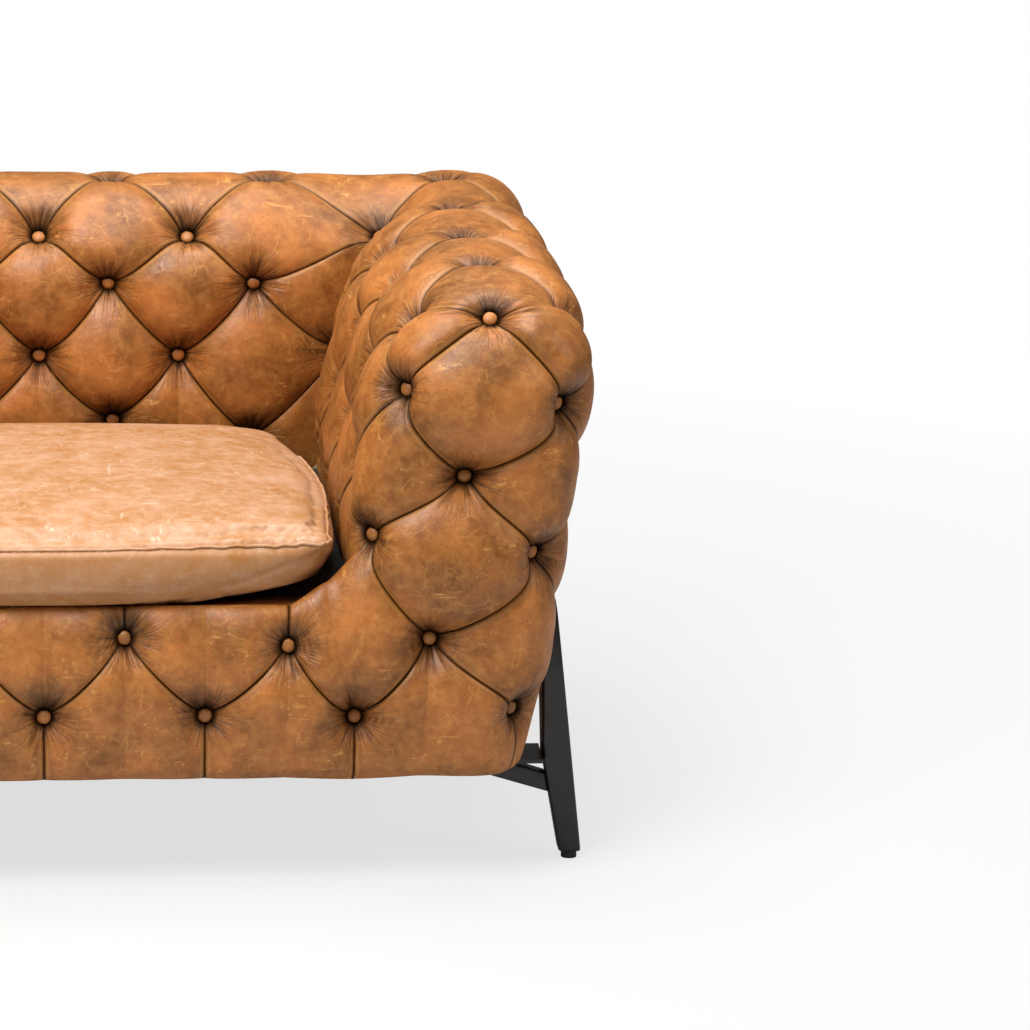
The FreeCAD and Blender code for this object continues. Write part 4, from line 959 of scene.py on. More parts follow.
def arm_cells(leather, side):
    """Add every tuft of one arm."""
    sizes = bpy.context.scene.chair_tufting
    flat, shoulder = sizes.crown, sizes.shoulder
    rounded, top, side_face, upright = (flat * share for share in (ROUNDED, ARM_TOP, SIDE_FACE, UPRIGHT))
    outer, middle, inner = ARM_OUTER, ARM_MIDDLE, ARM_INNER

    def four(left, bottom, right, above, crown, press=None):
        diamond(leather, *signed(side, (left, bottom, right, above)), crown, press)

    def hem(left, above, right, rise, crown, press=None):
        hem_cell(leather, *signed(side, (left, above, right)), rise, crown, press)

    for c in range(1, REAR):
        for r in range(1, EDGE_ROW):
            if (c + r) % 2:
                four((outer, c - 1, r), (outer, c, r - 1), (outer, c + 1, r), (outer, c, r + 1), side_face,
                     leg_press)
        if c % 2:
            hem((outer, c - 1, 0), (outer, c, 1), (outer, c + 1, 0), HEM_RISE, side_face, press_and_turn)
        else:
            four((outer, c - 1, EDGE_ROW), (outer, c, 4), (outer, c + 1, EDGE_ROW), (middle, c, TOP_ROW),
                 rounded if c == REAR - 1 else shoulder)
    for r in (1, 3):
        four((middle, 0, r), (outer, 0, r - 1), (outer, 1, r), (outer, 0, r + 1), upright, leg_press)
    for r in (2, 4):
        above = (outer, REAR, r + 1)
        four((outer, REAR - 1, r), (outer, REAR, r - 1), (middle, REAR, r), above, rounded, leg_press)
    hem((outer, REAR - 1, 0), (outer, REAR, 1), (middle, REAR, 0), HEM_RISE, rounded, press_and_turn)
    end = (middle, 0, EDGE_ROW)
    triangle(leather, *signed(side, (end, (outer, 1, EDGE_ROW), (outer, 0, 4))), shoulder)
    triangle(leather, *signed(side, (end, (inner, 0, 4), (inner, 1, EDGE_ROW))), rounded)
    four((inner, 0, 4), (middle, 0, 3), (outer, 0, 4), end, flat)
    four((inner, 0, 2), (middle, 0, 1), (outer, 0, 2), (middle, 0, 3), flat)
    hem((inner, 0, 0), (middle, 0, 1), (outer, 0, 0), HEM_RISE, flat, turn_under)
    for c in range(1, BACK_INNER + 1, 2):
        front = end if c == 1 else (middle, c - 1, TOP_ROW)
        four(front, (outer, c, EDGE_ROW), (middle, c + 1, TOP_ROW), (inner, c, EDGE_ROW), top)
    for c in range(2, BACK_INNER, 2):
        four((inner, c - 1, EDGE_ROW), (inner, c, 4), (inner, c + 1, EDGE_ROW), (middle, c, TOP_ROW), rounded)
        four((inner, c - 1, 3), (inner, c, 2), (inner, c + 1, 3), (inner, c, 4), side_face)
    four((inner, 0, 4), (middle, 0, 3), (inner, 0, 2), (inner, 1, 3), rounded)
    for c in range(1, BACK_INNER, 2):
        four((inner, c - 1, 4), (inner, c, 3), (inner, c + 1, 4), (inner, c, EDGE_ROW), side_face)
        hem((inner, c - 1, 2), (inner, c, 3), (inner, c + 1, 2), sizes.seat_line, side_face)
    corner, low = (inner, BACK_INNER, EDGE_ROW), (inner, BACK_INNER, 3)
    triangle(leather, *signed(side, ((inner, BACK_INNER - 1, 4), low, corner)), rounded)
    corner_foot(leather, *signed(side, ((inner, BACK_INNER - 1, 2), low)), rounded)


def corner_foot(leather, one, other, crown):
    """Add the tuft under a pleat that runs up to the corner between an arm and the back."""
    sizes = bpy.context.scene.chair_tufting
    steps, foot = sizes.cell_steps, sizes.cell_steps // 2
    rise = sizes.seat_line
    fill_cell(leather, curve(below(one, rise), below(other, rise, one), steps), drop(other, rise, foot),
              pleat(one, other, steps), drop(one, rise, foot), (one, other), crown, seed_of(*one, *other, 9),
              FOOT_OPEN)


def back_cells(leather):
    """Add every tuft of the back, between the arms."""
    sizes = bpy.context.scene.chair_tufting
    flat, rounded, top = sizes.crown, sizes.crown * ROUNDED, sizes.crown * BACK_TOP
    inner = BACK_INNER
    for k in range(-ARM_MIDDLE, ARM_MIDDLE + 1):
        for r in range(1, EDGE_ROW):
            if (k + r) % 2 == 0:
                diamond(leather, (k + 1, REAR, r), (k, REAR, r - 1), (k - 1, REAR, r), (k, REAR, r + 1), flat)
        if k % 2:
            diamond(leather, (k + 1, REAR, EDGE_ROW), (k, REAR, HIGH_ROW), (k - 1, REAR, EDGE_ROW),
                    (k, BACK_MIDDLE, TOP_ROW), rounded)
        else:
            hem_cell(leather, (k + 1, REAR, 0), (k, REAR, 1), (k - 1, REAR, 0), HEM_RISE, flat, turn_under)
            diamond(leather, (k - 1, BACK_MIDDLE, TOP_ROW), (k, inner, EDGE_ROW),
                    (k + 1, BACK_MIDDLE, TOP_ROW), (k, REAR, EDGE_ROW), top)
    for k in range(1 - ARM_INNER, ARM_INNER):
        if k % 2:
            diamond(leather, (k - 1, inner, EDGE_ROW), (k, inner, HIGH_ROW), (k + 1, inner, EDGE_ROW),
                    (k, BACK_MIDDLE, TOP_ROW), rounded)
            diamond(leather, (k - 1, inner, 3), (k, inner, 2), (k + 1, inner, 3), (k, inner, 4), flat)
        else:
            diamond(leather, (k - 1, inner, 4), (k, inner, 3), (k + 1, inner, 4), (k, inner, EDGE_ROW), flat)
            hem_cell(leather, (k - 1, inner, 2), (k, inner, 3), (k + 1, inner, 2), sizes.seat_line, flat)
    for side in (-1, 1):
        high, low = (side * 4, inner, EDGE_ROW), (side * 4, inner, 3)
        triangle(leather, (side * 3, inner, 4), low, high, rounded)
        corner_foot(leather, (side * 3, inner, 2), low, rounded)


def rail_cells(leather):
    """Add every tuft of the front rail, up to its roll, and the roll itself."""
    sizes = bpy.context.scene.chair_tufting
    steps, foot = sizes.cell_steps, sizes.cell_steps // 2
    for k in range(-3, 4, 2):
        hem_cell(leather, (k - 1, 0, 0), (k, 0, 1), (k + 1, 0, 0), HEM_RISE, sizes.crown, turn_under)

    foam_low, foam_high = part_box("front_rail_foam")
    brow = np.array([0, foam_low.y - RAIL_CREST[0], foam_high.z + RAIL_CREST[1]])

    def crest(k):
        return lattice_place(k, 0, sizes.seat_line) * (1, 0, 0) + brow, unit(np.array(RAIL_NORMAL))

    def upright(k):
        return curve(knot(k, 0, 1), crest(k), foot, 0.0, ROLL_LIFT, seed_of(k, 77))

    for k in range(-2, 3, 2):
        left, bottom, right = (k - 1, 0, 1), (k, 0, 0), (k + 1, 0, 1)
        lower = pleat(left, bottom, steps) + pleat(bottom, right, steps)
        upper = curve(crest(k - 1), crest(k), steps) + curve(crest(k), crest(k + 1), steps)
        fill_cell(leather, lower, upright(k + 1), upper, upright(k - 1), (left, bottom, right), sizes.crown,
                  seed_of(k, 55), ROLL_OPEN)
    for side in (-1, 1):
        near, low, far, high = signed(side, ((3, 0, 1), (4, 0, 0), (5, 0, 1), (4, 0, 2)))
        lower = pleat(near, low, steps) + pleat(low, far, steps)
        start, end = crest(3 * side), knot(*high)
        bend = ((start[0] + end[0]) / 2 + RAIL_BEND, unit(np.array(BEND_NORMAL)))
        upper = curve(start, bend, steps) + curve(bend, end, steps)
        fill_cell(leather, lower, pleat(far, high, foot), upper, upright(3 * side), (near, low, far, high),
                  sizes.crown, seed_of(side, 56), ROLL_OPEN)
    places = np.linspace(-1, 1, 4 * steps)[:, None] * (crest(4)[0] - crest(0)[0]) + crest(0)[0]
    level = np.array([0, foam_high.y - foam_low.y + DECK_REACH, 0])
    leather.take_plain(np.stack([places, places + level, places + level + DECK_LAP]))


def leather_mesh(name, leather):
    """Weld the cells of a cover into one closed-seamed mesh, with its pleats kept sharp."""
    points, faces = np.vstack(leather.points), np.vstack(leather.faces)
    keys = np.round(points / WELD_REACH).astype(np.int64)
    _, first, where = np.unique(keys, axis=0, return_index=True, return_inverse=True)
    where = where.reshape(-1)
    faces = where[faces]
    polygons = []
    for face in faces.tolist():
        kept = [corner for index, corner in enumerate(face) if corner != face[index - 1]]
        if len(set(kept)) == len(kept) and len(kept) >= 3:
            polygons.append(kept)
    mesh = bpy.data.meshes.new(name)
    mesh.from_pydata(points[first].tolist(), [], polygons)
    fields = {name: np.vstack(values)[first].ravel() for name, values in leather.fields.items()}
    for name in LEATHER_FIELDS:
        mesh.attributes.new(name, "FLOAT", "POINT").data.foreach_set("value", fields[name])
    mesh.attributes.new("bearing", "FLOAT_VECTOR", "POINT").data.foreach_set("vector", fields["bearing"])
    mesh.shade_smooth()
    ends = np.empty(2 * len(mesh.edges), dtype=np.int32)
    mesh.edges.foreach_get("vertices", ends)
    on_rim = fields["edge"][ends.reshape(-1, 2)].min(axis=1) > 0.5
    mesh.attributes.new("sharp_edge", "BOOLEAN", "EDGE").data.foreach_set("value", on_rim)
    return mesh


def add_object(name, data):
    """Put an object in the scene."""
    made = bpy.data.objects.new(name, data)
    bpy.context.scene.collection.objects.link(made)
    return made


def dress(piece, slot, body, *nodes):
    """Give a piece its finish and slot, let it ride on a body and let it stand for its nodes."""
    if not piece.data.materials:
        piece.data.materials.append(finish(slot))
    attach(piece, body)
    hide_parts(*nodes)
    return piece


def add_piece(mesh, slot, *nodes):
    """Put a mesh in the scene as a piece of the frame that stands for its nodes."""
    return dress(add_object(mesh.name, mesh), slot, "frame", *nodes)


# Operators: one for each group of pieces
class CHAIR_OT_arm_leather(bpy.types.Operator):
    """Build the tufted leather of both arms."""

    bl_idname = "chair.arm_leather"
    bl_label = "Arm leather"

    def execute(self, context):
        for name, side in (("left", -1), ("right", 1)):
            leather = Leather()
            arm_cells(leather, side)
            mesh = leather_mesh("arm_leather_" + name, leather)
            piece = add_piece(mesh, "tufted_leather", "arm_cover_" + name, "arm_front_pad_" + name,
                              "arm_rear_pad_" + name)
        return {"FINISHED"}


class CHAIR_OT_back_leather(bpy.types.Operator):
    """Build the tufted leather of the back and of the front rail."""

    bl_idname = "chair.back_leather"
    bl_label = "Back and rail leather"

    def execute(self, context):
        for name, make, node in (("back_leather", back_cells, "back_cover"),
                                 ("rail_leather", rail_cells, "front_rail_cover")):
            leather = Leather()
            make(leather)
            piece = add_piece(leather_mesh(name, leather), "tufted_leather", node)
        return {"FINISHED"}


def button_tree():
    """Build the tree that sets a domed button on every point, facing the way its point says."""
    tree = bpy.data.node_groups.new("covered_buttons", "GeometryNodeTree")
    sockets = tree.interface
    sockets.new_socket("Places", in_out="INPUT", socket_type="NodeSocketGeometry")
    for name in ("Radius", "Flatness"):
        sockets.new_socket(name, in_out="INPUT", socket_type="NodeSocketFloat")
    sockets.new_socket("Finish", in_out="INPUT", socket_type="NodeSocketMaterial")
    sockets.new_socket("Buttons", in_out="OUTPUT", socket_type="NodeSocketGeometry")
    given = add(tree, "NodeGroupInput")
    dome = add(tree, "GeometryNodeMeshUVSphere", {
        "Segments": 20, "Rings": 10, "Radius": given.outputs["Radius"]})
    squeeze = add(tree, "ShaderNodeCombineXYZ", {0: 1.0, 1: 1.0, 2: given.outputs["Flatness"]})
    flat = add(tree, "GeometryNodeTransform", {"Geometry": dome.outputs["Mesh"], "Scale": squeeze.outputs[0]})
    facing = add(tree, "GeometryNodeInputNamedAttribute", {"Name": "facing"}, data_type="FLOAT_VECTOR")
    turn = add(tree, "FunctionNodeAlignRotationToVector", {"Vector": facing.outputs["Attribute"]}, axis="Z")
    placed = add(tree, "GeometryNodeInstanceOnPoints", {
        "Points": given.outputs["Places"], "Instance": flat.outputs["Geometry"], "Rotation": turn.outputs[0]})
    real = add(tree, "GeometryNodeRealizeInstances", {"Geometry": placed.outputs[0]})
    smooth = add(tree, "GeometryNodeSetShadeSmooth", {"Geometry": real.outputs[0]})
    painted = add(tree, "GeometryNodeSetMaterial", {
        "Geometry": smooth.outputs[0], "Material": given.outputs["Finish"]})
    add(tree, "NodeGroupOutput", {"Buttons": painted.outputs[0]})
    return tree


def run_tree(name, tree, mesh, values):
    """Run a tree on a mesh with its inputs set, and return the result as a plain mesh."""
    holder = add_object(name + "_places", mesh)
    modifier = holder.modifiers.new(tree.name, "NODES")
    modifier.node_group = tree
    for socket in tree.interface.items_tree:
        if socket.name in values and socket.in_out == "INPUT":
            modifier[socket.identifier] = values[socket.name]
    graph = bpy.context.evaluated_depsgraph_get()
    made = bpy.data.meshes.new_from_object(holder.evaluated_get(graph))
    made.name = name
    holder.modifiers.clear()
    bpy.data.objects.remove(holder)
    return made


def every_other(ks, cs, rs):
    """Return the lattice points of a run of columns and rows that carry a button: every second one."""
    return [(k, c, r) for k in ks for c in cs for r in rs if (k + c + r) % 2 == 0]


def all_knots():
    """Return every button of the chair, by the node that stands for it."""
    low, high = range(EDGE_ROW + 1), range(2, EDGE_ROW + 1)
    faces = every_other([ARM_OUTER], range(1, REAR), low)
    faces += every_other([ARM_INNER], range(1, BACK_INNER + 1), high)
    faces += [(ARM_MIDDLE, c, TOP_ROW) for c in (2, 4, 6, 8)]
    ends = every_other((ARM_INNER, ARM_MIDDLE, ARM_OUTER), [0], range(EDGE_ROW)) + [END_BUTTON]
    ends += every_other((ARM_MIDDLE, ARM_OUTER), [REAR], low)
    found = {}
    for part, keys in (("arm_buttons_", faces), ("arm_end_buttons_", ends)):
        own = [key for key in keys if key not in NO_BUTTON]
        found[part + "left"], found[part + "right"] = signed(-1, own), signed(1, own)
    across = range(1 - ARM_INNER, ARM_INNER)
    found["back_buttons"] = every_other(range(-ARM_INNER, ARM_INNER + 1), [REAR], low)
    found["back_buttons"] += every_other(across, [BACK_INNER], high)
    found["back_buttons"] += [(k, BACK_MIDDLE, TOP_ROW) for k in across if k % 2]
    found["front_rail_buttons"] = every_other(range(-ARM_INNER, ARM_INNER + 1), [0], (0, 1))
    return found


class CHAIR_OT_buttons(bpy.types.Operator):
    """Set a leather-covered button in every funnel."""

    bl_idname = "chair.buttons"
    bl_label = "Covered buttons"

    def execute(self, context):
        sizes = context.scene.chair_tufting
        tree = button_tree()
        for node, keys in all_knots().items():
            places, normals = np.array([knot(*key) for key in keys]).transpose(1, 0, 2)
            sinks = np.array([depth_at(key) for key in keys]) - BUTTON_STAND
            mesh = bpy.data.meshes.new(node + "_places")
            mesh.from_pydata((places - normals * sinks[:, None]).tolist(), [], [])
            facing = mesh.attributes.new("facing", "FLOAT_VECTOR", "POINT")
            facing.data.foreach_set("vector", normals.ravel())
            made = run_tree(node.replace("buttons", "button_caps"), tree, mesh, {
                "Radius": sizes.button_radius, "Flatness": BUTTON_FLATNESS,
                "Finish": finish("button_leather")})
            add_piece(made, "button_leather", node)
        return {"FINISHED"}


def fullness(share):
    """Return how full the cushion's top is at a share of the way from its middle to its side."""
    return np.clip(1 - np.abs(share) ** 3, 0, 1) ** 0.6


def cushion_extent():
    """Return the middle and half the depth of the cushion, and the height of its underside."""
    sizes = bpy.context.scene.chair_cushion
    low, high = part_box("seat_cushion_cover")
    front, rear = FRONT_LINE - sizes.front, high.y - REAR_EASE
    return (front + rear) / 2, (rear - front) / 2, low.z + SEAT_EASE


def cushion_place(across, along, height, spread_out=1.0):
    """Return points of the cushion from shares across and along it, drawn in towards its corners."""
    sizes = bpy.context.scene.chair_cushion
    middle, deep, base = cushion_extent()
    narrow = (1 - sizes.bow * np.abs(along) ** SWEPT) * (1 - sizes.taper * np.maximum(along, 0))
    x = sizes.half_width * across * narrow * spread_out
    y = deep * along * (1 - sizes.bow * np.abs(across) ** SWEPT) * spread_out
    return np.stack([x, middle + y, base + height], axis=-1)


def seam_height(across, along):
    """Return how high the top seam runs over the underside. It rises towards the front corners."""
    sizes = bpy.context.scene.chair_cushion
    front = np.clip(-along, 0, 1) ** 2
    lift = front * (sizes.front_rise + sizes.corner_rise * np.abs(across) ** CORNER_TURN)
    return sizes.seam_rise + lift - sizes.rear_fall * np.clip(along, 0, 1)


def under_height(across, along):
    """Return how high the underside lifts off the seat: a little at its edge, up to the seam in a corner."""
    lift = bpy.context.scene.chair_cushion.under_lift
    edge = np.maximum(np.abs(across), np.abs(along)) ** 8
    corner = np.abs(across * along) ** UNDER_TURN
    return seam_height(across, along) * corner + lift * edge * (1 - corner)


def under_spread(across, along):
    """Return how far the underside is drawn in from the seam: less where the border narrows to a corner."""
    border = 1 - under_height(across, along) / seam_height(across, along)
    return 1 + (CUSHION_DRAWN_IN - 1) * (BORDER_DRAW + (1 - BORDER_DRAW) * border)


def ring(places):
    """Return shares across and along the cushion for a run of places round its four sides."""
    ones = np.ones(len(places) - 1)
    across = np.concatenate([places[:-1], ones, places[:0:-1], -ones])
    return across, np.roll(across, len(ones))


def cushion_shell():
    """Return the cushion's starting form: a domed top, a border that narrows to the corners, an underside."""
    sizes = bpy.context.scene.chair_cushion
    places = np.sin(np.linspace(-1, 1, SHELL_STEPS + 1) * math.pi / 2)
    across, along = np.meshgrid(places, places)
    seam, under = seam_height(across, along), under_height(across, along)
    top = seam + (sizes.crown - sizes.seam_rise) * fullness(across) * fullness(along)
    underside = cushion_place(across, along, under, under_spread(across, along))
    sheets = [cushion_place(across, along, top), underside[:, ::-1]]
    ring_across, ring_along = ring(places)
    low, high = under_height(ring_across, ring_along), seam_height(ring_across, ring_along)
    inner = under_spread(ring_across, ring_along)
    border = []
    for up in np.linspace(0, 1, BORDER_STEPS + 1):
        belly = CUSHION_BELLY * math.sin(math.pi * up) * (1 - low / high)
        spread_out = inner + (1 - inner) * (1 - (1 - up) ** 3) + belly
        row = cushion_place(ring_across, ring_along, low + (high - low) * up, spread_out)
        border.append(np.vstack([row, row[:1]]))
    sheets.append(np.stack(border))
    vertices, faces = [], []
    for sheet in sheets:
        rows, columns = sheet.shape[:2]
        index = np.arange(rows * columns).reshape(rows, columns) + sum(len(item) for item in vertices)
        vertices.append(sheet.reshape(-1, 3))
        faces += grid_faces(index).tolist()
    mesh = bpy.data.meshes.new("seat_cushion_leather")
    mesh.from_pydata(np.vstack(vertices).tolist(), [], faces)
    shell = bmesh.new()
    shell.from_mesh(mesh)
    bmesh.ops.remove_doubles(shell, verts=shell.verts, dist=SEW_REACH)
    bmesh.ops.recalc_face_normals(shell, faces=shell.faces)
    shell.to_mesh(mesh)
    shell.free()
    return mesh


def seam_line():
    """Return points along the top seam, all round, and how far each lies towards a corner."""
    ring_across, ring_along = ring(np.sin(np.linspace(-1, 1, SEAM_STEPS + 1) * math.pi / 2))
    points = cushion_place(ring_across, ring_along, seam_height(ring_across, ring_along))
    return points, np.minimum(np.abs(ring_across), np.abs(ring_along))


def apply_modifiers(piece):
    """Turn a piece and its modifiers into a plain mesh."""
    graph = bpy.context.evaluated_depsgraph_get()
    mesh = bpy.data.meshes.new_from_object(piece.evaluated_get(graph))
    piece.modifiers.clear()
    old, piece.data = piece.data, mesh
    bpy.data.meshes.remove(old)
    return piece


def vectors_of(items, name):
    """Return a vector of each item of a collection as rows."""
    values = np.empty(3 * len(items))
    items.foreach_get(name, values)
    return values.reshape(-1, 3)


def move_to(mesh, points):
    """Set a mesh's points."""
    mesh.vertices.foreach_set("co", points.ravel())
    mesh.update()


def hold_off(points, node, gap):
    """Push points that lie in or close to a solid out of it."""
    tree = solid_tree(node)
    held = points.copy()
    for index, point in enumerate(points):
        near, normal, _, away = tree.find_nearest(Vector(point))
        outside = (Vector(point) - near).dot(normal) > 0
        if not outside or away < gap:
            held[index] = near + normal * gap
    return held


def puff_up(piece, pressure, cap):
    """Swell a closed mesh by cloth simulation. Points move outwards only, and no further than the cap."""
    scene = bpy.context.scene
    before, outwards = vectors_of(piece.data.vertices, "co"), vectors_of(piece.data.vertices, "normal")
    cloth = piece.modifiers.new("swell", "CLOTH")
    cloth.settings.use_pressure = True
    cloth.settings.uniform_pressure_force = pressure
    cloth.settings.effector_weights.gravity = 0
    cloth.settings.tension_stiffness = CLOTH_TENSION
    cloth.settings.shrink_min = CLOTH_SPARE
    cloth.point_cache.frame_start, cloth.point_cache.frame_end = 1, CLOTH_STEPS
    for step in range(1, CLOTH_STEPS + 1):
        scene.frame_set(step)
    apply_modifiers(piece)
    scene.frame_set(1)
    moved = vectors_of(piece.data.vertices, "co") - before
    inwards = np.minimum((moved * outwards).sum(axis=1, keepdims=True), 0)
    moved = moved - outwards * inwards
    distance = np.linalg.norm(moved, axis=1, keepdims=True)
    move_to(piece.data, before + moved * np.minimum(1, cap / np.maximum(distance, 1e-9)))


def nearest_on(line, points):
    """Return for each point the index of the nearest place on a line, and its distance."""
    tree = KDTree(len(line))
    for index, place in enumerate(line):
        tree.insert(place, index)
    tree.balance()
    found = [tree.find(point) for point in points]
    return np.array([item[1] for item in found]), np.array([item[2] for item in found])


def sew_cushion(mesh, rest):
    """Draw in the top seam and gather the leather by the corners. Returns where the seam ends up."""
    sizes = bpy.context.scene.chair_cushion
    line, cornered = seam_line()
    points, normals = vectors_of(mesh.vertices, "co"), vectors_of(mesh.vertices, "normal")
    index, away = nearest_on(line, rest)
    over = rest[:, 2] - line[index, 2]
    middle, _, base = cushion_extent()
    cornered = cornered[index]
    toward = np.clip((cornered - GATHER_FROM) / GATHER_GROW, 0, 1)
    toward = toward * np.clip((1 - cornered) / GATHER_END, 0, 1)
    end = np.abs(line[index, 1] - middle) > np.abs(line[index, 0]) * SIDE_RATIO
    sideways = np.where(end, np.abs(rest[:, 0]), np.abs(rest[:, 1] - middle))
    phase = (sideways - GATHER_SLANT * away) / GATHER_PITCH
    phase = phase + GATHER_STRAY * np.sin(GATHER_TURN * phase)
    ridge = np.abs(np.sin(math.pi * phase)) ** 0.7 - 0.6
    reach = np.where(over > 0, GATHER_ABOVE, GATHER_BELOW)
    seamless = 1 - np.exp(-(away / SEAM_EDGE) ** 2)
    gather = sizes.gather * ridge * toward * np.exp(-(away / reach) ** 2) * seamless
    draw = SEAM_DRAW * np.exp(-(away / SEAM_WIDTH) ** 2)
    points = points + normals * (gather - draw)[:, None]
    points = hold_off(points, "seat_cushion_foam", sizes.core_gap)
    points[:, 2] = np.maximum(points[:, 2], base)
    move_to(mesh, points)
    # Painted shade on the border: darkest just under the seam, fading away from it
    border = np.clip(-over / SEAM_EDGE, 0, 1) * (1 - BORDER_LOSS * np.clip(away / BORDER_FADE, 0, 1))
    mesh.attributes.new("border", "FLOAT", "POINT").data.foreach_set("value", border)
    back, _ = nearest_on(rest, line)
    seam = points[back] + normals[back] * WELT_STAND
    weights = np.hanning(2 * SEAM_EASE + 1)
    weights /= weights.sum()
    wrapped = np.vstack([seam[-SEAM_EASE:], seam, seam[:SEAM_EASE]])
    return np.stack([np.convolve(wrapped[:, axis], weights, "valid") for axis in range(3)], axis=-1)


def add_tube(mesh, line, radius):
    """Add a closed tube along a line to a mesh."""
    ahead = unit(np.roll(line, -1, axis=0) - np.roll(line, 1, axis=0))
    side = unit(np.cross(ahead, [0.0, 0.0, 1.0]))
    up = np.cross(side, ahead)
    angles = np.linspace(0, 2 * math.pi, WELT_SIDES, endpoint=False)
    rings = (line[:, None] + radius * (np.cos(angles)[None, :, None] * side[:, None]
                                       + np.sin(angles)[None, :, None] * up[:, None]))
    whole = bmesh.new()
    whole.from_mesh(mesh)
    made = [[whole.verts.new(point) for point in ring] for ring in rings]
    tube = [whole.faces.new((made[i - 1][j - 1], made[i - 1][j], made[i][j], made[i][j - 1]))
            for i in range(len(made)) for j in range(WELT_SIDES)]
    bmesh.ops.recalc_face_normals(whole, faces=tube)
    whole.to_mesh(mesh)
    whole.free()


class CHAIR_OT_cushion(bpy.types.Operator):
    """Build the loose seat cushion with its gathers and the welt in its seam."""

    bl_idname = "chair.cushion"
    bl_label = "Seat cushion"

    def execute(self, context):
        sizes = context.scene.chair_cushion
        piece = add_object("seat_cushion_leather", cushion_shell())
        remesh = piece.modifiers.new("even_mesh", "REMESH")
        remesh.mode = "VOXEL"
        remesh.voxel_size = sizes.voxel
        apply_modifiers(piece)
        rest = piece.data.attributes.new("rest", "FLOAT_VECTOR", "POINT")
        rest.data.foreach_set("vector", vectors_of(piece.data.vertices, "co").ravel())
        puff_up(piece, CLOTH_PRESSURE, sizes.swell)
        smooth = piece.modifiers.new("fair", "SUBSURF")
        smooth.levels = smooth.render_levels = 1
        apply_modifiers(piece)
        welt = sew_cushion(piece.data, vectors_of(piece.data.attributes["rest"].data, "vector"))
        add_tube(piece.data, welt, sizes.welt)
        piece.data.shade_smooth()
        piece.data.materials.clear()
        dress(piece, "cushion_leather", "cushion", "seat_cushion_cover")
        return {"FINISHED"}


def softened(name, node, width):
    """Return a copy of a node's mesh with its edges rounded off."""
    mesh = frame["nodes"][node].data.copy()
    mesh.name = name
    copy = bmesh.new()
    copy.from_mesh(mesh)
    bmesh.ops.remove_doubles(copy, verts=copy.verts, dist=SAME_PLACE)
    bmesh.ops.dissolve_limit(copy, angle_limit=FLAT_ANGLE, verts=copy.verts, edges=copy.edges)
    sharp = [edge for edge in copy.edges if len(edge.link_faces) == 2 and edge.calc_face_angle() > EDGE_ANGLE]
    bmesh.ops.bevel(copy, geom=sharp, offset=width, segments=EDGE_STEPS, profile=EDGE_PROFILE,
                    affect="EDGES", clamp_overlap=True)
    copy.to_mesh(mesh)
    copy.free()
    mesh.materials.clear()
    mesh.shade_smooth()
    mesh.set_sharp_from_angle(angle=SHADED_ANGLE)
    return mesh


class CHAIR_OT_legs(bpy.types.Operator):
    """Build the enamelled legs with their struts."""

    bl_idname = "chair.legs"
    bl_label = "Legs"

    def execute(self, context):
        for end in ("front", "rear"):
            for side in ("left", "right"):
                for kind, name, width in LEG_PARTS:
                    ending = "_%s_%s" % (end, side)
                    add_piece(softened(name + ending, kind + ending, width), "black_steel", kind + ending)
        return {"FINISHED"}


class CHAIR_OT_inner_parts(bpy.types.Operator):
    """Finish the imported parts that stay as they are."""

    bl_idname = "chair.inner_parts"
    bl_label = "Frame, foam and fixings"

    def execute(self, context):
        slots = {item["node"]: item["material_slot"] for item in frame["record"]["subparts"]}
        for node, item in frame["nodes"].items():
            # The seat deck gets the black dust cloth: a lining, chosen dark so that it stands in for the
            # shadow in the gap under the cushion
            made = finish("dust_cloth" if node == "seat_deck" else slots[node])
            for index in range(max(1, len(item.material_slots))):
                if item.material_slots:
                    item.material_slots[index].material = made
                else:
                    item.data.materials.append(made)
        return {"FINISHED"}


class CHAIR_OT_studio(bpy.types.Operator):
    """Build the floor, the lamps and the camera."""

    bl_idname = "chair.studio"
    bl_label = "Studio"

    def execute(self, context):
        scene = context.scene
        make_floor()
        make_lamps()
        make_camera()
        scene.view_settings.view_transform = "Standard"
        return {"FINISHED"}


def make_floor():
    """Make a wide pale floor that reads as white and keeps the chair's shadow."""
    mesh = bpy.data.meshes.new("studio_floor")
    corners = ((-1, -1), (1, -1), (1, 1), (-1, 1))
    mesh.from_pydata([(FLOOR_REACH * x, FLOOR_REACH * y, 0) for x, y in corners], [], [(0, 1, 2, 3)])
    floor = add_object("studio_floor", mesh)
    material = bpy.data.materials.new("studio_paper")
    material.use_nodes = True
    tree = material.node_tree
    tree.nodes.clear()
    paper = add(tree, "ShaderNodeBsdfDiffuse", {"Color": linear(bpy.context.scene.chair_colours.floor)})
    glow = add(tree, "ShaderNodeEmission", {"Color": (1, 1, 1, 1), "Strength": 1.0})
    path = add(tree, "ShaderNodeLightPath")
    ground = add(tree, "ShaderNodeTexCoord").outputs["Object"]
    away = add(tree, "ShaderNodeVectorMath", {0: ground}, operation="LENGTH").outputs["Value"]
    far = add(tree, "ShaderNodeMapRange", {"Value": away, "From Min": FLOOR_NEAR, "From Max": FLOOR_FAR,
                                           "To Min": FLOOR_GLOW, "To Max": 1.0}).outputs[0]
    seen = maths(tree, "MULTIPLY", path.outputs["Is Camera Ray"], far)
    mixed = add(tree, "ShaderNodeMixShader", {0: seen, 1: paper.outputs[0], 2: glow.outputs[0]})
    add(tree, "ShaderNodeOutputMaterial", {"Surface": mixed.outputs[0]})
    mesh.materials.append(material)


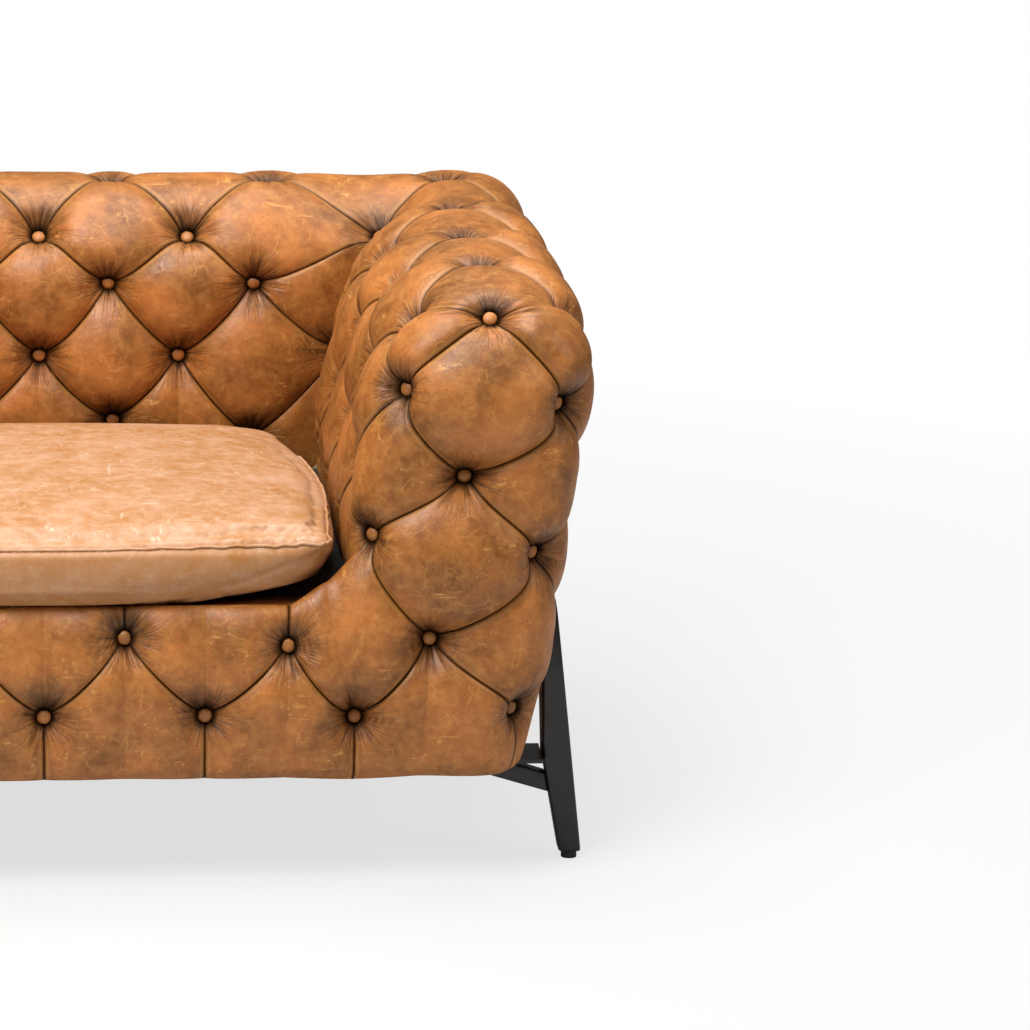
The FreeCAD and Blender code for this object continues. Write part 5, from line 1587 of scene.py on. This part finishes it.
def make_lamps():
    """Light the chair with a large soft box above the front, two fills and an even surround."""
    scene = bpy.context.scene
    for name, place, width, power in LAMPS:
        lamp = bpy.data.lights.new(name, "AREA")
        lamp.size = width
        lamp.energy = power
        lamp.color = LAMP_TINT
        holder = add_object(name, lamp)
        holder.location = place
        holder.rotation_euler = (Vector(LAMP_TARGET) - Vector(place)).to_track_quat("-Z", "Y").to_euler()
    world = bpy.data.worlds.new("studio_surround")
    scene.world = world
    world.use_nodes = True
    tree = world.node_tree
    tree.nodes.clear()
    path = add(tree, "ShaderNodeLightPath")
    seen = maths(tree, "MAXIMUM", path.outputs["Is Camera Ray"], path.outputs["Is Transmission Ray"])
    seen = maths(tree, "MAXIMUM", seen, times(tree, path.outputs["Is Glossy Ray"], GLOSSY_SHARE))
    level = maths(tree, "MULTIPLY_ADD", seen, 1 - SURROUND, SURROUND)
    sky = add(tree, "ShaderNodeBackground", {"Color": (1, 1, 1, 1), "Strength": level})
    add(tree, "ShaderNodeOutputWorld", {"Surface": sky.outputs[0]})


def make_camera():
    """Set the camera before the front, a little above it, with half of the chair in view."""
    lens = bpy.data.cameras.new("photo_camera")
    lens.sensor_width = SENSOR_WIDTH
    lens.lens = FOCAL_LENGTH
    lens.clip_end = SIGHT
    camera = add_object("photo_camera", lens)
    camera.location = CAMERA_PLACE
    pitch, yaw, roll = (math.radians(angle) for angle in CAMERA_ANGLES)
    aim = Euler((math.pi / 2 - pitch, 0, -yaw)).to_matrix() @ Matrix.Rotation(roll, 3, "Z")
    camera.rotation_euler = aim.to_euler()
    bpy.context.scene.camera = camera


OPERATORS = (CHAIR_OT_inner_parts, CHAIR_OT_arm_leather, CHAIR_OT_back_leather, CHAIR_OT_buttons,
             CHAIR_OT_cushion, CHAIR_OT_legs, CHAIR_OT_studio)
GROUPS = {"chair_tufting": TuftingSizes, "chair_cushion": CushionSizes, "chair_colours": Colours}


class CHAIR_PT_panel(bpy.types.Panel):
    """Lists the chair's sizes, colours and pieces."""

    bl_idname = "CHAIR_PT_panel"
    bl_label = "Armchair"
    bl_space_type = "VIEW_3D"
    bl_region_type = "UI"
    bl_category = "Armchair"

    def draw(self, context):
        for name in GROUPS:
            box = self.layout.box()
            group = getattr(context.scene, name)
            for prop in group.__annotations__:
                box.prop(group, prop)
        for operator in OPERATORS:
            self.layout.operator(operator.bl_idname)


def register():
    """Register the classes and hang their sizes on the scene."""
    for item in (*GROUPS.values(), *OPERATORS, CHAIR_PT_panel):
        bpy.utils.register_class(item)
    for name, group in GROUPS.items():
        setattr(bpy.types.Scene, name, bpy.props.PointerProperty(type=group))


def unregister():
    """Take the sizes off the scene and unregister the classes."""
    for name in GROUPS:
        delattr(bpy.types.Scene, name)
    for item in reversed((*GROUPS.values(), *OPERATORS, CHAIR_PT_panel)):
        bpy.utils.unregister_class(item)


def main():
    """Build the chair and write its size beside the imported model's."""
    register()
    for operator in OPERATORS:
        group, name = operator.bl_idname.split(".")
        getattr(getattr(bpy.ops, group), name)()
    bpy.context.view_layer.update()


if __name__ == "__main__":
    main()
